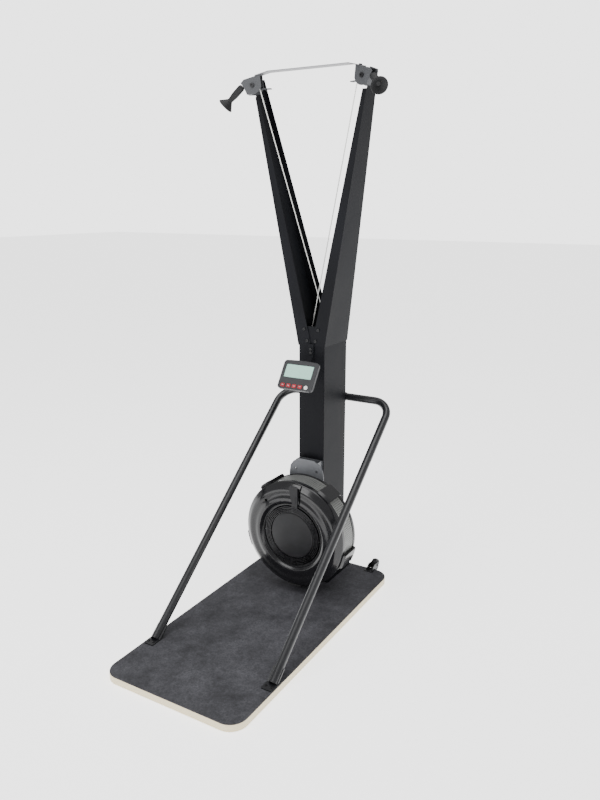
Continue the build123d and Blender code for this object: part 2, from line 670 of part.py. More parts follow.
with BuildPart() as damper_lever:
    with BuildSketch(fan_plane):
        Polygon((LEVER_R[0], 233), (LEVER_R[1], 233), (LEVER_R[1], 238), (LEVER_R[0], 238), align=None)
    revolve(axis=fan_axis)
    with BuildSketch(Plane.XZ.offset(-LEVER_FRONT)):
        Polygon(
            (12, FAN_Z + 142), (35, FAN_Z + 142), (36, FAN_Z + 200), (35, FAN_Z + 228), (30, FAN_Z + 232),
            (0, FAN_Z + 232), (-5, FAN_Z + 227), (-4, FAN_Z + 205), align=None)
    extrude(amount=-4)
    with BuildSketch(Plane.XZ.offset(-LEVER_FRONT)):
        with Locations((0, FAN_Z)):
            Circle(LEVER_R[1])
            Circle(LEVER_R[0], mode=Mode.SUBTRACT)
        with Locations((23.5, FAN_Z + 150)):
            Rectangle(23, 40, mode=Mode.INTERSECT)
    extrude(amount=-13)
    with BuildSketch(Plane.XZ.offset(-LEVER_FRONT)):
        with Locations((24, FAN_Z + 170)):
            SlotOverall(30, 8, rotation=85)
    extrude(amount=1.5)
save(damper_lever, "damper_lever")

with BuildPart() as perforated_band:
    with BuildSketch(fan_plane):
        Polygon((BAND_R - 1.5, BAND_FRONT), (BAND_R, BAND_FRONT), (BAND_R, BAND_REAR), (BAND_R - 1.5, BAND_REAR),
                align=None)
    revolve(axis=fan_axis)
save(perforated_band, "perforated_band")

with BuildPart() as rear_cover:
    with BuildSketch(fan_plane):
        Polygon(
            (20, HOUSING_REAR - SKIN), (FAN_R - SKIN, HOUSING_REAR - SKIN), (FAN_R - SKIN, BAND_REAR),
            (FAN_R, BAND_REAR), (FAN_R, HOUSING_REAR - 3), (FAN_R - 3, HOUSING_REAR), (20, HOUSING_REAR),
            align=None)
    revolve(axis=fan_axis)
save(rear_cover, "rear_cover")

CLIP_ANGLES = [-18 + 72 * step for step in range(5)]
CLIP_SPAN = 15
with BuildPart() as housing_clips:
    for angle in CLIP_ANGLES:
        with BuildSketch(Plane(Location((0, 0, FAN_Z), (0, -(angle + CLIP_SPAN / 2), 0)))):
            Polygon(
                (FAN_R + 0.1, 254), (FAN_R + 5, 252), (FAN_R + 13, 264), (FAN_R + 13, 352), (FAN_R + 6, 361),
                (FAN_R + 0.1, 361), align=None)
        revolve(axis=fan_axis, revolution_arc=CLIP_SPAN)
save(housing_clips, "housing_clips")

with BuildPart() as fan_wheel:
    with BuildSketch(fan_plane):
        Polygon(
            (SHAFT_R, 272), (32, 272), (32, 336), (224, 336), (224, 339), (32, 339), (32, 348), (SHAFT_R, 348),
            align=None)
    revolve(axis=fan_axis)
    with BuildSketch(Plane.XZ.offset(-336)):
        with Locations((0, FAN_Z)):
            with PolarLocations(141, 20):
                Rectangle(160, 2.5)
    extrude(amount=58)
    with BuildSketch(fan_plane):
        Polygon((218, 278), (224, 278), (224, 281), (218, 281), align=None)
    revolve(axis=fan_axis)
save(fan_wheel, "fan_wheel")

with BuildPart() as fan_shaft:
    with BuildSketch(Plane.XZ.offset(-268)):
        with Locations((0, FAN_Z)):
            Circle(SHAFT_R)
    extrude(amount=-(566 - 268))
save(fan_shaft, "fan_shaft")

with BuildPart() as ball_bearings:
    for y in (FRONT_BEARING_Y, REAR_BEARING_Y):
        with BuildSketch(Plane.XZ.offset(-y)):
            with Locations((0, FAN_Z)):
                Circle(BEARING_R)
                Circle(SHAFT_R + 0.05, mode=Mode.SUBTRACT)
        extrude(amount=-BEARING_WIDE)
save(ball_bearings, "ball_bearings")

# ---------------------------------------------------------------- fan brackets
with BuildPart() as fan_brackets:
    # upper face plate, its lower edge following the rear cover
    with BuildSketch(Plane.XZ.offset(-362)):
        with BuildLine():
            Polyline((-85, 512), (-85, 540), (-80, 571), (-65, 592), (-38, 608), (38, 608), (65, 592), (80, 571),
                     (85, 540), (85, 512), close=True)
        make_face()
        with Locations((0, FAN_Z)):
            Circle(FAN_R + 0.1, mode=Mode.SUBTRACT)
        with Locations((-51.3, 560), (51.3, 560)):
            Circle(5.5, mode=Mode.SUBTRACT)
    extrude(amount=4)
    for side in (-1, 1):
        with BuildSketch(Plane.YZ.offset(side * 55)):
            Polygon((361, 540), (361, 600), (397, 600), (397, 440), (HOUSING_REAR, 440), (HOUSING_REAR, 540),
                    align=None)
        extrude(amount=-side * 3)
    with BuildSketch(Plane.XZ.offset(-COLUMN_FRONT)):
        with Locations((0, 520)):
            Rectangle(116, 160)
        with Locations(*[(sx * 30, 575) for sx in (-1, 1)]):
            Circle(4.2, mode=Mode.SUBTRACT)
    extrude(amount=3)
    # lower bracket
    with BuildSketch(Plane.XZ.offset(-COLUMN_FRONT)):
        with Locations((0, 96)):
            Rectangle(84, 46)
        with Locations(*[(sx * 30, 96) for sx in (-1, 1)]):
            Circle(4.2, mode=Mode.SUBTRACT)
    extrude(amount=3)
    for side in (-1, 1):
        with BuildSketch(Plane.YZ.offset(side * 42)):
            with Locations(((HOUSING_REAR + COLUMN_FRONT) / 2, 96)):
                Rectangle(COLUMN_FRONT - HOUSING_REAR, 46)
        extrude(amount=-side * 3)
save(fan_brackets, "fan_brackets")

# ---------------------------------------------------------------- support hoop and its feet
leg_dir = Vector(0, TUBE_SLOPE, 1).normalized()
leg_up = Vector(0, -leg_dir.Z, leg_dir.Y)
LEG_X = 275
FOOT_SHEET = 4
FOOT_WIDE = 45
FOOT_LONG = 60
TUBE_WALL = 2.5
TUBE_LAP = 3                              # plate between the column and the tube
corner_z = TUBE_FOOT_Z + (TUBE_REAR - TUBE_FOOT_Y) / TUBE_SLOPE
leg_foot = Vector(LEG_X, TUBE_FOOT_Y, TUBE_FOOT_Z)


def leg_point(along, across):
    # on the leg's axial plane: distance up the leg, and square to it
    return leg_foot + leg_dir * along + leg_up * across


with BuildPart() as support_hoop:
    with BuildLine() as hoop_path:
        FilletPolyline(
            leg_foot, (TUBE_X, TUBE_REAR, corner_z), (-TUBE_X, TUBE_REAR, corner_z),
            (-LEG_X, TUBE_FOOT_Y, TUBE_FOOT_Z), radius=TUBE_BEND)
    with BuildSketch(Plane(origin=leg_foot, z_dir=leg_dir)):
        Circle(TUBE_R)
        Circle(TUBE_R - TUBE_WALL, mode=Mode.SUBTRACT)
    sweep(path=hoop_path.line)
    # the ends are cut level with the mat and slotted for the foot plates
    with BuildSketch(Plane.XY.offset(DECK)):
        with Locations((0, TUBE_FOOT_Y)):
            Rectangle(700, 160)
    extrude(amount=-60, mode=Mode.SUBTRACT)
    for side in (-1, 1):
        slot_start = Vector(side * LEG_X, leg_foot.Y, leg_foot.Z) - leg_dir * 20
        with BuildSketch(Plane(origin=slot_start, x_dir=(1, 0, 0), z_dir=leg_dir)):
            Rectangle(FOOT_WIDE + 2, FOOT_SHEET + 1.2)
        extrude(amount=20 + FOOT_LONG, mode=Mode.SUBTRACT)
save(support_hoop, "support_hoop")

half_foot = FOOT_SHEET / 2
low = leg_point(0, -half_foot)
high = leg_point(0, half_foot)
low_bend = low.Y - (low.Z - DECK) * TUBE_SLOPE
high_bend = high.Y - (high.Z - DECK - FOOT_SHEET) * TUBE_SLOPE
with BuildPart() as foot_brackets:
    for side in (-1, 1):
        with BuildSketch(Plane.YZ.offset(side * (LEG_X - 2))):
            Polygon(
                (-392, DECK), (low_bend, DECK),
                (leg_point(FOOT_LONG, -half_foot).Y, leg_point(FOOT_LONG, -half_foot).Z),
                (leg_point(FOOT_LONG, half_foot).Y, leg_point(FOOT_LONG, half_foot).Z),
                (high_bend, DECK + FOOT_SHEET), (-392, DECK + FOOT_SHEET), align=None)
        extrude(amount=FOOT_WIDE / 2, both=True)
    fillet(foot_brackets.edges().filter_by(Axis.Z).group_by(Axis.Y)[0], 5)
    with Locations(*[(x, y, DECK + FOOT_SHEET) for x, y in FOOT_SCREWS]):
        Hole(2.7, depth=FOOT_SHEET)
save(foot_brackets, "foot_brackets")

with BuildPart() as foot_screws:
    with BuildSketch(Plane.XY.offset(DECK + FOOT_SHEET)):
        with Locations(*FOOT_SCREWS):
            Circle(5)
    extrude(amount=2.6)
    fillet(foot_screws.faces().group_by(Axis.Z)[-1].edges(), 1.2)
    with BuildSketch(Plane.XY.offset(DECK + FOOT_SHEET)):
        with Locations(*FOOT_SCREWS):
            Circle(2.5)
    extrude(amount=-24)
save(foot_screws, "foot_screws")

CLAMP_REACH = 42
with BuildPart() as hoop_clamp:
    with BuildSketch(Plane.YZ):
        with Locations((COLUMN_REAR + TUBE_LAP / 2, corner_z)):
            Rectangle(TUBE_LAP, 2 * CLAMP_REACH)
        with Locations((TUBE_REAR, corner_z)):
            Circle(TUBE_R + 3)
        with Locations((COLUMN_REAR + TUBE_LAP + 9, corner_z)):
            Rectangle(18, 2 * TUBE_R + 6)
        with Locations((COLUMN_REAR + TUBE_LAP + 1.5, corner_z)):
            Rectangle(3, 2 * CLAMP_REACH)
        with Locations((TUBE_REAR, corner_z)):
            Circle(TUBE_R, mode=Mode.SUBTRACT)
        with Locations((COLUMN_REAR + TUBE_LAP + 9, corner_z)):
            Rectangle(18, 2 * TUBE_R, mode=Mode.SUBTRACT)
    extrude(amount=52, both=True)
    with Locations(*[Location((x, COLUMN_REAR + 2 * TUBE_LAP, z), (-90, 0, 0)) for x, z in CLAMP_BOLTS]):
        Hole(4.2, depth=2 * TUBE_LAP)
save(hoop_clamp, "hoop_clamp")

# ---------------------------------------------------------------- console
tilt = radians(CONSOLE_TILT)
face_normal = Vector(0, -cos(tilt), sin(tilt))
face_up = Vector(0, sin(tilt), cos(tilt))
CONSOLE_WIDE = 166
CONSOLE_LOW = -64
CONSOLE_HIGH = 62
CONSOLE_CROWN = 66
SHELL_DEEP = 14
BACK_DEEP = 42
PLASTIC = 2.5
LENS_SIZE = (130, 58)
LENS_AT = (-1, 16)
BUTTON_ROW = -49
BUTTON_SIZE = (20, 16)
BUTTON_NAMES = ("units_button", "display_button", "change_button", "menu_button")
BUTTON_X = (-57, -29.5, -2, 25.5)
POWER_X = 53
POWER_R = 8.5
TRAVEL = 2
PROUD = 2.5
CLEAR = 0.35
HINGE = Vector(0, 352, 1022)
PIN_R = 3
BARREL_R = 7
STRAP_HALF = 13


def face_plane(height):
    return Plane(origin=CONSOLE + face_normal * height, x_dir=(1, 0, 0), z_dir=face_normal)


def make_outline(shrink):
    half = CONSOLE_WIDE / 2 - shrink
    with BuildSketch() as outline:
        with BuildLine():
            Polyline(
                (half, CONSOLE_HIGH - shrink), (half, CONSOLE_LOW + shrink), (-half, CONSOLE_LOW + shrink),
                (-half, CONSOLE_HIGH - shrink))
            ThreePointArc(
                (-half, CONSOLE_HIGH - shrink), (0, CONSOLE_CROWN - shrink), (half, CONSOLE_HIGH - shrink))
        make_face()
        fillet(outline.vertices(), 14 - shrink)
    return outline.sketch


with BuildPart() as console_front:
    with BuildSketch(face_plane(0)):
        add(make_outline(0))
    extrude(amount=-SHELL_DEEP)
    fillet(console_front.faces().sort_by(Axis(CONSOLE, face_normal))[-1].edges(), 3)
    with BuildSketch(face_plane(-3)):
        add(make_outline(PLASTIC))
    extrude(amount=-SHELL_DEEP, mode=Mode.SUBTRACT)
    with BuildSketch(face_plane(0)):
        with Locations(LENS_AT):
            RectangleRounded(LENS_SIZE[0], LENS_SIZE[1], 4)
        for x in BUTTON_X:
            with Locations((x, BUTTON_ROW)):
                RectangleRounded(BUTTON_SIZE[0] + 2 * CLEAR, BUTTON_SIZE[1] + 2 * CLEAR, 4)
        with Locations((POWER_X, BUTTON_ROW)):
            Circle(POWER_R + CLEAR)
    extrude(amount=-5, mode=Mode.SUBTRACT)
save(console_front, "console_front")

with BuildPart() as console_lens:
    with BuildSketch(face_plane(-1)):
        with Locations(LENS_AT):
            RectangleRounded(LENS_SIZE[0], LENS_SIZE[1], 4)
    extrude(amount=-2)
    with BuildSketch(face_plane(-3)):
        with Locations(LENS_AT):
            RectangleRounded(LENS_SIZE[0] + 6, LENS_SIZE[1] + 6, 4)
    extrude(amount=-2)
save(console_lens, "console_lens")

for name, x in zip(BUTTON_NAMES, BUTTON_X):
    with BuildPart() as button:
        with BuildSketch(face_plane(PROUD)):
            with Locations((x, BUTTON_ROW)):
                RectangleRounded(BUTTON_SIZE[0], BUTTON_SIZE[1], 4)
        extrude(amount=-(PROUD + 6))
        fillet(button.faces().sort_by(Axis(CONSOLE, face_normal))[-1].edges(), 1)
        with BuildSketch(face_plane(-3.05)):
            with Locations((x, BUTTON_ROW)):
                Rectangle(BUTTON_SIZE[0] + 3, BUTTON_SIZE[1] + 3)
        extrude(amount=-2)
    save(button, name)

with BuildPart() as power_button:
    with BuildSketch(face_plane(PROUD)):
        with Locations((POWER_X, BUTTON_ROW)):
            Circle(POWER_R)
    extrude(amount=-(PROUD + 6))
    fillet(power_button.faces().sort_by(Axis(CONSOLE, face_normal))[-1].edges(), 1)
    with BuildSketch(face_plane(-3.05)):
        with Locations((POWER_X, BUTTON_ROW)):
            Circle(POWER_R + 1.5)
    extrude(amount=-2)
save(power_button, "power_button")

EAR_INNER = STRAP_HALF + 0.6
with BuildPart() as console_back:
    with BuildSketch(face_plane(-SHELL_DEEP)):
        add(make_outline(0))
    with BuildSketch(face_plane(-BACK_DEEP)):
        with Locations((0, -8)):
            RectangleRounded(112, 84, 12)
    loft()
    with BuildSketch(face_plane(-SHELL_DEEP)):
        add(make_outline(PLASTIC))
    with BuildSketch(face_plane(-BACK_DEEP + PLASTIC)):
        with Locations((0, -8)):
            RectangleRounded(107, 79, 10)
    loft(mode=Mode.SUBTRACT)
    # ears that carry the tilt pin
    for side in (-1, 1):
        with BuildSketch(Plane.YZ.offset(side * EAR_INNER)):
            with Locations((HINGE.Y, HINGE.Z)):
                Circle(9)
            with BuildLine():
                root_low = CONSOLE + face_up * 36 - face_normal * 37
                root_high = CONSOLE + face_up * 60 - face_normal * 17
                top = HINGE + face_up * 8.2 + face_normal * 3.5
                base = HINGE - face_up * 8 - face_normal * 4
                Polyline(
                    (root_low.Y, root_low.Z), (root_high.Y, root_high.Z), (top.Y, top.Z), (base.Y, base.Z),
                    close=True)
            make_face()
        extrude(amount=side * 5)
    with BuildSketch(Plane.YZ):
        with Locations((HINGE.Y, HINGE.Z)):
            Circle(PIN_R + 0.05)
    extrude(amount=30, both=True, mode=Mode.SUBTRACT)
save(console_back, "console_back")

STRAP_FACE = 392
with BuildPart() as console_arm:
    with BuildSketch(Plane.YZ):
        Polygon(
            (STRAP_FACE + 4, 1112), (STRAP_FACE + 4, 1061), (HINGE.Y + 5, HINGE.Z - 2), (HINGE.Y, HINGE.Z + 2),
            (STRAP_FACE, 1065), (STRAP_FACE, 1112), align=None)
        with Locations((STRAP_FACE + 6, 1082)):
            Rectangle(4, 34)
        with Locations((HINGE.Y, HINGE.Z)):
            Circle(BARREL_R)
    extrude(amount=STRAP_HALF, both=True)
    with BuildSketch(Plane.YZ):
        with Locations((HINGE.Y, HINGE.Z)):
            Circle(PIN_R)
    extrude(amount=30, both=True, mode=Mode.SUBTRACT)
    with Locations(*[Location((x, STRAP_FACE, z), (90, 0, 0)) for x, z in STRAP_BOLTS]):
        Hole(4.2, depth=10)
save(console_arm, "console_arm")

with BuildPart() as console_pin:
    with BuildSketch(Plane.YZ):
        with Locations((HINGE.Y, HINGE.Z)):
            Circle(PIN_R)
    extrude(amount=EAR_INNER + 7, both=True)
    for side in (-1, 1):
        with BuildSketch(Plane.YZ.offset(side * (EAR_INNER + 5.4))):
            with Locations((HINGE.Y, HINGE.Z)):
                Circle(5.5)
        extrude(amount=side * 3)
save(console_pin, "console_pin")

# ---------------------------------------------------------------- transport wheels
WHEEL_HALF = 12
AXLE_PIN_R = 4
WHEEL_BASE = (208, 591.5)
with BuildPart() as transport_wheel:
    wheel_plane = Plane(origin=WHEEL, x_dir=(0, 1, 0), z_dir=(0, 0, 1))
    with BuildSketch(wheel_plane):
        with BuildLine():
            Polyline(
                (AXLE_PIN_R + 0.05, -WHEEL_HALF), (10, -WHEEL_HALF), (12, -8), (19, -8), (21, -11), (25, -11))
            ThreePointArc((25, -11), (WHEEL_R, 0), (25, 11))
            Polyline(
                (25, 11), (21, 11), (19, 8), (12, 8), (10, WHEEL_HALF), (AXLE_PIN_R + 0.05, WHEEL_HALF),
                (AXLE_PIN_R + 0.05, -WHEEL_HALF))
        make_face()
    revolve(axis=Axis(WHEEL, (1, 0, 0)))
save_pair(transport_wheel, "transport_wheel")

with BuildPart() as wheel_brackets:
    with BuildSketch(Plane.XY.offset(DECK)):
        with Locations(WHEEL_BASE):
            RectangleRounded(42, 37, 4)
        with Locations((211, 594)):
            Rectangle(31, 32)
    extrude(amount=3)
    with Locations((WHEEL_BOLTS[1][0], WHEEL_BOLTS[1][1], DECK + 3)):
        Hole(4.2, depth=3)
    for cheek in (WHEEL.X - WHEEL_HALF - 3.5, WHEEL.X + WHEEL_HALF + 0.5):
        with BuildSketch(Plane.YZ.offset(cheek)):
            Polygon((578, DECK), (578, 40), (604, 55), (WHEEL.Y, 51), (WHEEL.Y, 23), (611, DECK), align=None)
            with Locations((WHEEL.Y, WHEEL.Z)):
                Circle(14)
                Circle(AXLE_PIN_R, mode=Mode.SUBTRACT)
        extrude(amount=3)
    mirror(about=Plane.YZ)
save(wheel_brackets, "wheel_brackets")

with BuildPart() as wheel_axles:
    for start, radius, long in ((-19.5, 7, 4), (-16, AXLE_PIN_R, 32), (15.5, 7, 4)):
        with BuildSketch(Plane.YZ.offset(WHEEL.X + start)):
            with Locations((WHEEL.Y, WHEEL.Z)):
                Circle(radius)
        extrude(amount=long)
    mirror(about=Plane.YZ)
save(wheel_axles, "wheel_axles")

# ---------------------------------------------------------------- fasteners
FLAT_HEAD_R = 6.8
BOLT_R = 4
arm_face = [ARM_FRONT_LEAN * (z - ARM_FOOT) for x, z in NECK_BOLTS]
WASHER = 0.3                              # takes up the flange's lean
front_seats = [(x, COLUMN_FRONT - SHEET - lean - WASHER, z) for (x, z), lean in zip(NECK_BOLTS, arm_face)]
front_seats += [(x, COLUMN_FRONT - 3, z) for x, z in BRACKET_BOLTS]
front_seats = [(sx * x, y, z) for sx in (-1, 1) for x, y, z in front_seats]
front_seats += [(x, STRAP_FACE, z) for x, z in STRAP_BOLTS]
frame_seats = [(Plane(origin=seat, x_dir=(1, 0, 0), z_dir=(0, -1, 0)), 14) for seat in front_seats]
frame_seats += [
    (Plane(origin=(x, COLUMN_REAR + 2 * TUBE_LAP, z), x_dir=(1, 0, 0), z_dir=(0, 1, 0)), 14)
    for x, z in CLAMP_BOLTS]

left_tongue = Plane(
    origin=(-tongue_plane.origin.X, tongue_plane.origin.Y, tongue_plane.origin.Z),
    x_dir=(-head_back.X, head_back.Y, 0), z_dir=(-bolt_normal.X, bolt_normal.Y, bolt_normal.Z))
frame_seats += [(tongue_plane, 13), (left_tongue, 13)]

with BuildPart() as frame_bolts:
    for plane, long in frame_seats:
        with BuildSketch(plane):
            Circle(FLAT_HEAD_R)
        extrude(amount=4.2)
        with BuildSketch(plane):
            Circle(BOLT_R)
        extrude(amount=-long)
save(frame_bolts, "frame_bolts")

with BuildPart() as head_screws:
    with BuildSketch(web_plane.offset(SHEET)):
        with Locations(*TAB_SCREWS):
            Circle(5.5)
    extrude(amount=3.2)
    with BuildSketch(web_plane.offset(SHEET)):
        with Locations(*TAB_SCREWS):
            Circle(3)
    extrude(amount=-9)
    mirror(about=Plane.YZ)
save(head_screws, "head_screws")

base_seats = [(x, y, DECK + FLANGE) for x, y in BASE_BOLTS] + [(x, y, DECK + 3) for x, y in WHEEL_BOLTS]
with BuildPart() as base_bolts:
    for x, y, seat in base_seats:
        with BuildSketch(Plane.XY.offset(seat)):
            with Locations((x, y)):
                Circle(FLAT_HEAD_R)
        extrude(amount=4)
        with BuildSketch(Plane.XY.offset(seat)):
            with Locations((x, y)):
                Circle(BOLT_R)
        extrude(amount=-(seat - 4))
save(base_bolts, "base_bolts")
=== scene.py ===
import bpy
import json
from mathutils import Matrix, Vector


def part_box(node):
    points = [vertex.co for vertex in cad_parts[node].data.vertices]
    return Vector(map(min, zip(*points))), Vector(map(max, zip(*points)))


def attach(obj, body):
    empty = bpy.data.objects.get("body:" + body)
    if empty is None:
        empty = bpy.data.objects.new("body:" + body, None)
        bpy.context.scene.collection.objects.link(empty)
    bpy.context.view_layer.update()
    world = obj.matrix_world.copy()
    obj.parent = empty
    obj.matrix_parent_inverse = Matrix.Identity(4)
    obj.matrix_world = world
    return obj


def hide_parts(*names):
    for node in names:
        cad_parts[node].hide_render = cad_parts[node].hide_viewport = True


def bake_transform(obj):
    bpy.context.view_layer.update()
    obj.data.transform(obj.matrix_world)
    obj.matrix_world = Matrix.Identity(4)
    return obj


bl_info = {
    "name": "Ski trainer looks",
    "version": (1, 0, 0),
    "blender": (4, 5, 0),
    "location": "3D View > Sidebar > Ski trainer",
    "description": "Finishes, perforated fan band, screws, cords and studio for the ski trainer",
    "category": "Object",
}

import json
from math import cos, pi, radians, sin

import bmesh
import bpy
import numpy as np
from bpy.props import FloatProperty, FloatVectorProperty, IntProperty, PointerProperty
from mathutils import Vector

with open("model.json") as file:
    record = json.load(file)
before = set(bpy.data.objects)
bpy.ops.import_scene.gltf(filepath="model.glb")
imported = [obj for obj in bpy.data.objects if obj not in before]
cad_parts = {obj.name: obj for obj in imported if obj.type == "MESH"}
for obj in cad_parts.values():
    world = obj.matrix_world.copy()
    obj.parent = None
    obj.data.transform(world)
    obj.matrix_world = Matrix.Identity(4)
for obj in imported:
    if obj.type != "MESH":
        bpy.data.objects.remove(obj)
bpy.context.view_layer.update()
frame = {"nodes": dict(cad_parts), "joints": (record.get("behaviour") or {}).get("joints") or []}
NODES = frame["nodes"]
JOINTS = {joint["name"]: joint for joint in frame["joints"]}
BUTTONS = ("units_button", "display_button", "change_button", "menu_button")

BAND_INSET = 0.0013                       # the punched sheet lies this far inside the band's rim
BAND_WALL = 0.0010
SEAM = 0.00005                            # corners nearer than this are merged
SHAFT_SHARE = 0.55                        # a screw shaft's radius over its head's radius
SHAFT_FIT = 0.98                          # share of the hole that the shaft fills
RIM_WIDE = 0.0025                         # the screen's raised rim
RIM_DEEP = 0.0012
RIM_CORNER = 0.004
MARK_HALF = (0.0042, 0.0008)              # half the length and width of a key's mark
MARK_SUNK = 0.0004                        # how far the mark reaches into the key

CAMERA_PLACE = (1.522, -2.261, 1.690)
CAMERA_PITCH = 15.04                      # degrees below the level
CAMERA_TURN = 30.68
CAMERA_LENS = 33.24                       # millimetres, on a sensor 36 wide
FLOOR_REACH = 30.0
# name, place, where it points, width and height, watts
LAMPS = (
    ("key_softbox", (-1.6, -4.2, 3.6), (0, 0.1, 1.0), (2.6, 2.2), 105),
    ("side_softbox", (4.2, 0.2, 2.6), (0, 0.3, 1.1), (1.2, 2.6), 8),
    ("top_softbox", (0.2, -0.4, 4.6), (0, 0, 0), (3.2, 3.2), 110),
)
AIR = 0.6                                 # light from all round
BACKDROP = 3.0                            # how bright the air looks past the floor's edge
FLOOR_GLOW = 1.9                          # lifts the paper floor to the same white


def colour(name, default, words):
    return FloatVectorProperty(
        name=name, description=words, subtype="COLOR", size=3, min=0.0, max=1.0, default=default)


# ---------------------------------------------------------------- what a user would change
class TrainerFinishes(bpy.types.PropertyGroup):
    frame_dark: colour("Frame, dark", (0.0055, 0.0057, 0.0072), "Powder coat on mast and hoop, low patches")
    frame_light: colour("Frame, light", (0.010, 0.0105, 0.0128), "Powder coat on mast and hoop, high patches")
    head_grey: colour("Pulley head", (0.055, 0.057, 0.062), "Satin grey of the pulley heads and fan bracket")
    bar_grey: colour("Crossbar", (0.20, 0.20, 0.21), "Satin grey of the crossbar")
    gloss_black: colour("Fan housing", (0.0055, 0.0055, 0.0065), "Glossy plastic of the fan housing")
    grille_grey: colour("Perforated band", (0.20, 0.205, 0.197), "Painted perforated sheet round the fan")
    mat_dark: colour("Mat, dark", (0.026, 0.026, 0.031), "Rubber mat, low patches")
    mat_light: colour("Mat, light", (0.086, 0.086, 0.098), "Rubber mat, pale scuffs")
    plywood: colour("Plywood edge", (0.92, 0.80, 0.54), "Lacquered plywood edge")
    screen: colour("Screen", (0.44, 0.74, 0.62), "Unlit liquid crystal screen")
    button_red: colour("Buttons", (0.30, 0.012, 0.022), "Rubber of the four keys")


class TrainerSizes(bpy.types.PropertyGroup):
    hole_radius: FloatProperty(
        name="Hole radius", description="Radius of each hole in the fan band", unit="LENGTH", default=0.0024)
    hole_columns: IntProperty(name="Hole columns", description="Holes round the fan band", default=170)
    hole_rows: IntProperty(name="Hole rows", description="Rows of holes across the fan band", default=7)
    band_rim: FloatProperty(
        name="Band rim", description="Plain strip along each edge of the band", unit="LENGTH", default=0.008)
    socket_share: FloatProperty(
        name="Socket share", description="Hex socket's radius over the screw head's radius", default=0.42)
    mark_height: FloatProperty(
        name="Key mark height", description="How far a key's mark stands proud", unit="LENGTH",
        default=0.0003)


# ---------------------------------------------------------------- materials
def start_material(name):
    material = bpy.data.materials.new(name)
    material.use_nodes = True
    nodes = material.node_tree.nodes
    shader = nodes["Principled BSDF"]
    place = nodes.new("ShaderNodeTexCoord").outputs["Object"]
    return material, nodes, material.node_tree.links, shader, place


def stretched(nodes, links, place, scale):
    mapping = nodes.new("ShaderNodeMapping")
    mapping.inputs["Scale"].default_value = scale
    links.new(place, mapping.inputs["Vector"])
    return mapping.outputs["Vector"]


def noise(nodes, links, place, scale, detail=4.0, roughness=0.55):
    texture = nodes.new("ShaderNodeTexNoise")
    texture.inputs["Scale"].default_value = scale
    texture.inputs["Detail"].default_value = detail
    texture.inputs["Roughness"].default_value = roughness
    links.new(place, texture.inputs["Vector"])
    return texture.outputs["Fac"]


def ramp(nodes, links, value, stops):
    band = nodes.new("ShaderNodeValToRGB")
    elements = band.color_ramp.elements
    while len(elements) < len(stops):
        elements.new(0.5)
    for element, (position, shade) in zip(elements, stops):
        element.position = position
        element.color = (*shade, 1.0)
    links.new(value, band.inputs["Fac"])
    return band.outputs["Color"]


def spread(nodes, links, value, low, high):
    # a 0 to 1 value moved into the range low to high
    span = nodes.new("ShaderNodeMapRange")
    span.inputs["From Min"].default_value = 0.3
    span.inputs["From Max"].default_value = 0.7
    span.inputs["To Min"].default_value = low
    span.inputs["To Max"].default_value = high
    links.new(value, span.inputs["Value"])
    return span.outputs["Result"]


def roughen(nodes, links, shader, height, strength, distance):
    bump = nodes.new("ShaderNodeBump")
    bump.inputs["Strength"].default_value = strength
    bump.inputs["Distance"].default_value = distance
    links.new(height, bump.inputs["Height"])
    links.new(bump.outputs["Normal"], shader.inputs["Normal"])


def tint(shade, factor):
    return tuple(min(1.0, channel * factor) for channel in shade)


def grained(name, low, high, patch, grain, rough, bump, metallic=0.0, coat=0.0, stretch=(1, 1, 1),
           shine=0.5):
    """Two close shades in broad patches, with a fine grain in height and gloss."""
    material, nodes, links, shader, place = start_material(name)
    place = stretched(nodes, links, place, stretch)
    patches = noise(nodes, links, place, patch)
    fine = noise(nodes, links, place, grain, 2.0)
    links.new(ramp(nodes, links, patches, [(0.32, low), (0.68, high)]), shader.inputs["Base Color"])
    links.new(spread(nodes, links, patches, rough[0], rough[1]), shader.inputs["Roughness"])
    roughen(nodes, links, shader, fine, bump[0], bump[1])
    shader.inputs["Metallic"].default_value = metallic
    shader.inputs["Coat Weight"].default_value = coat
    shader.inputs["Coat Roughness"].default_value = 0.08
    shader.inputs["Specular IOR Level"].default_value = shine
    return material


def powder_coat(looks):
    return grained(
        "powder_coat", looks.frame_dark, looks.frame_light, 3.0, 900.0, (0.44, 0.56),
        (0.12, 0.0003), shine=0.08)


def tube_coat(looks):
    return grained(
        "tube_coat", looks.frame_dark, looks.frame_light, 6.0, 900.0, (0.28, 0.38), (0.08, 0.0003), shine=0.6)


def bracket_coat(looks):
    return grained(
        "bracket_coat", tint(looks.head_grey, 1.7), tint(looks.head_grey, 2.2), 14.0, 1100.0, (0.32, 0.44),
        (0.10, 0.0003), metallic=0.3)


def head_satin(looks):
    return grained(
        "head_satin", tint(looks.head_grey, 0.85), tint(looks.head_grey, 1.15), 14.0, 1100.0, (0.36, 0.48),
        (0.10, 0.0003), metallic=0.3)


def bar_satin(looks):
    return grained(
        "bar_satin", tint(looks.bar_grey, 0.85), tint(looks.bar_grey, 1.1), 12.0, 700.0, (0.30, 0.42),
        (0.08, 0.0003), metallic=0.7, stretch=(0.15, 1, 1))


def housing_gloss(looks):
    return grained(
        "housing_gloss", looks.gloss_black, tint(looks.gloss_black, 1.6), 9.0, 500.0, (0.15, 0.24),
        (0.03, 0.0003), coat=0.15, shine=0.4)


def moulded_black():
    return grained(
        "moulded_black", (0.008, 0.008, 0.009), (0.014, 0.014, 0.016), 22.0, 1300.0, (0.42, 0.56),
        (0.22, 0.0004), shine=0.3)


def grille_paint():
    return grained(
        "grille_paint", (0.020, 0.020, 0.022), (0.034, 0.034, 0.037), 30.0, 900.0, (0.24, 0.34),
        (0.06, 0.0002), metallic=0.4, coat=0.3)


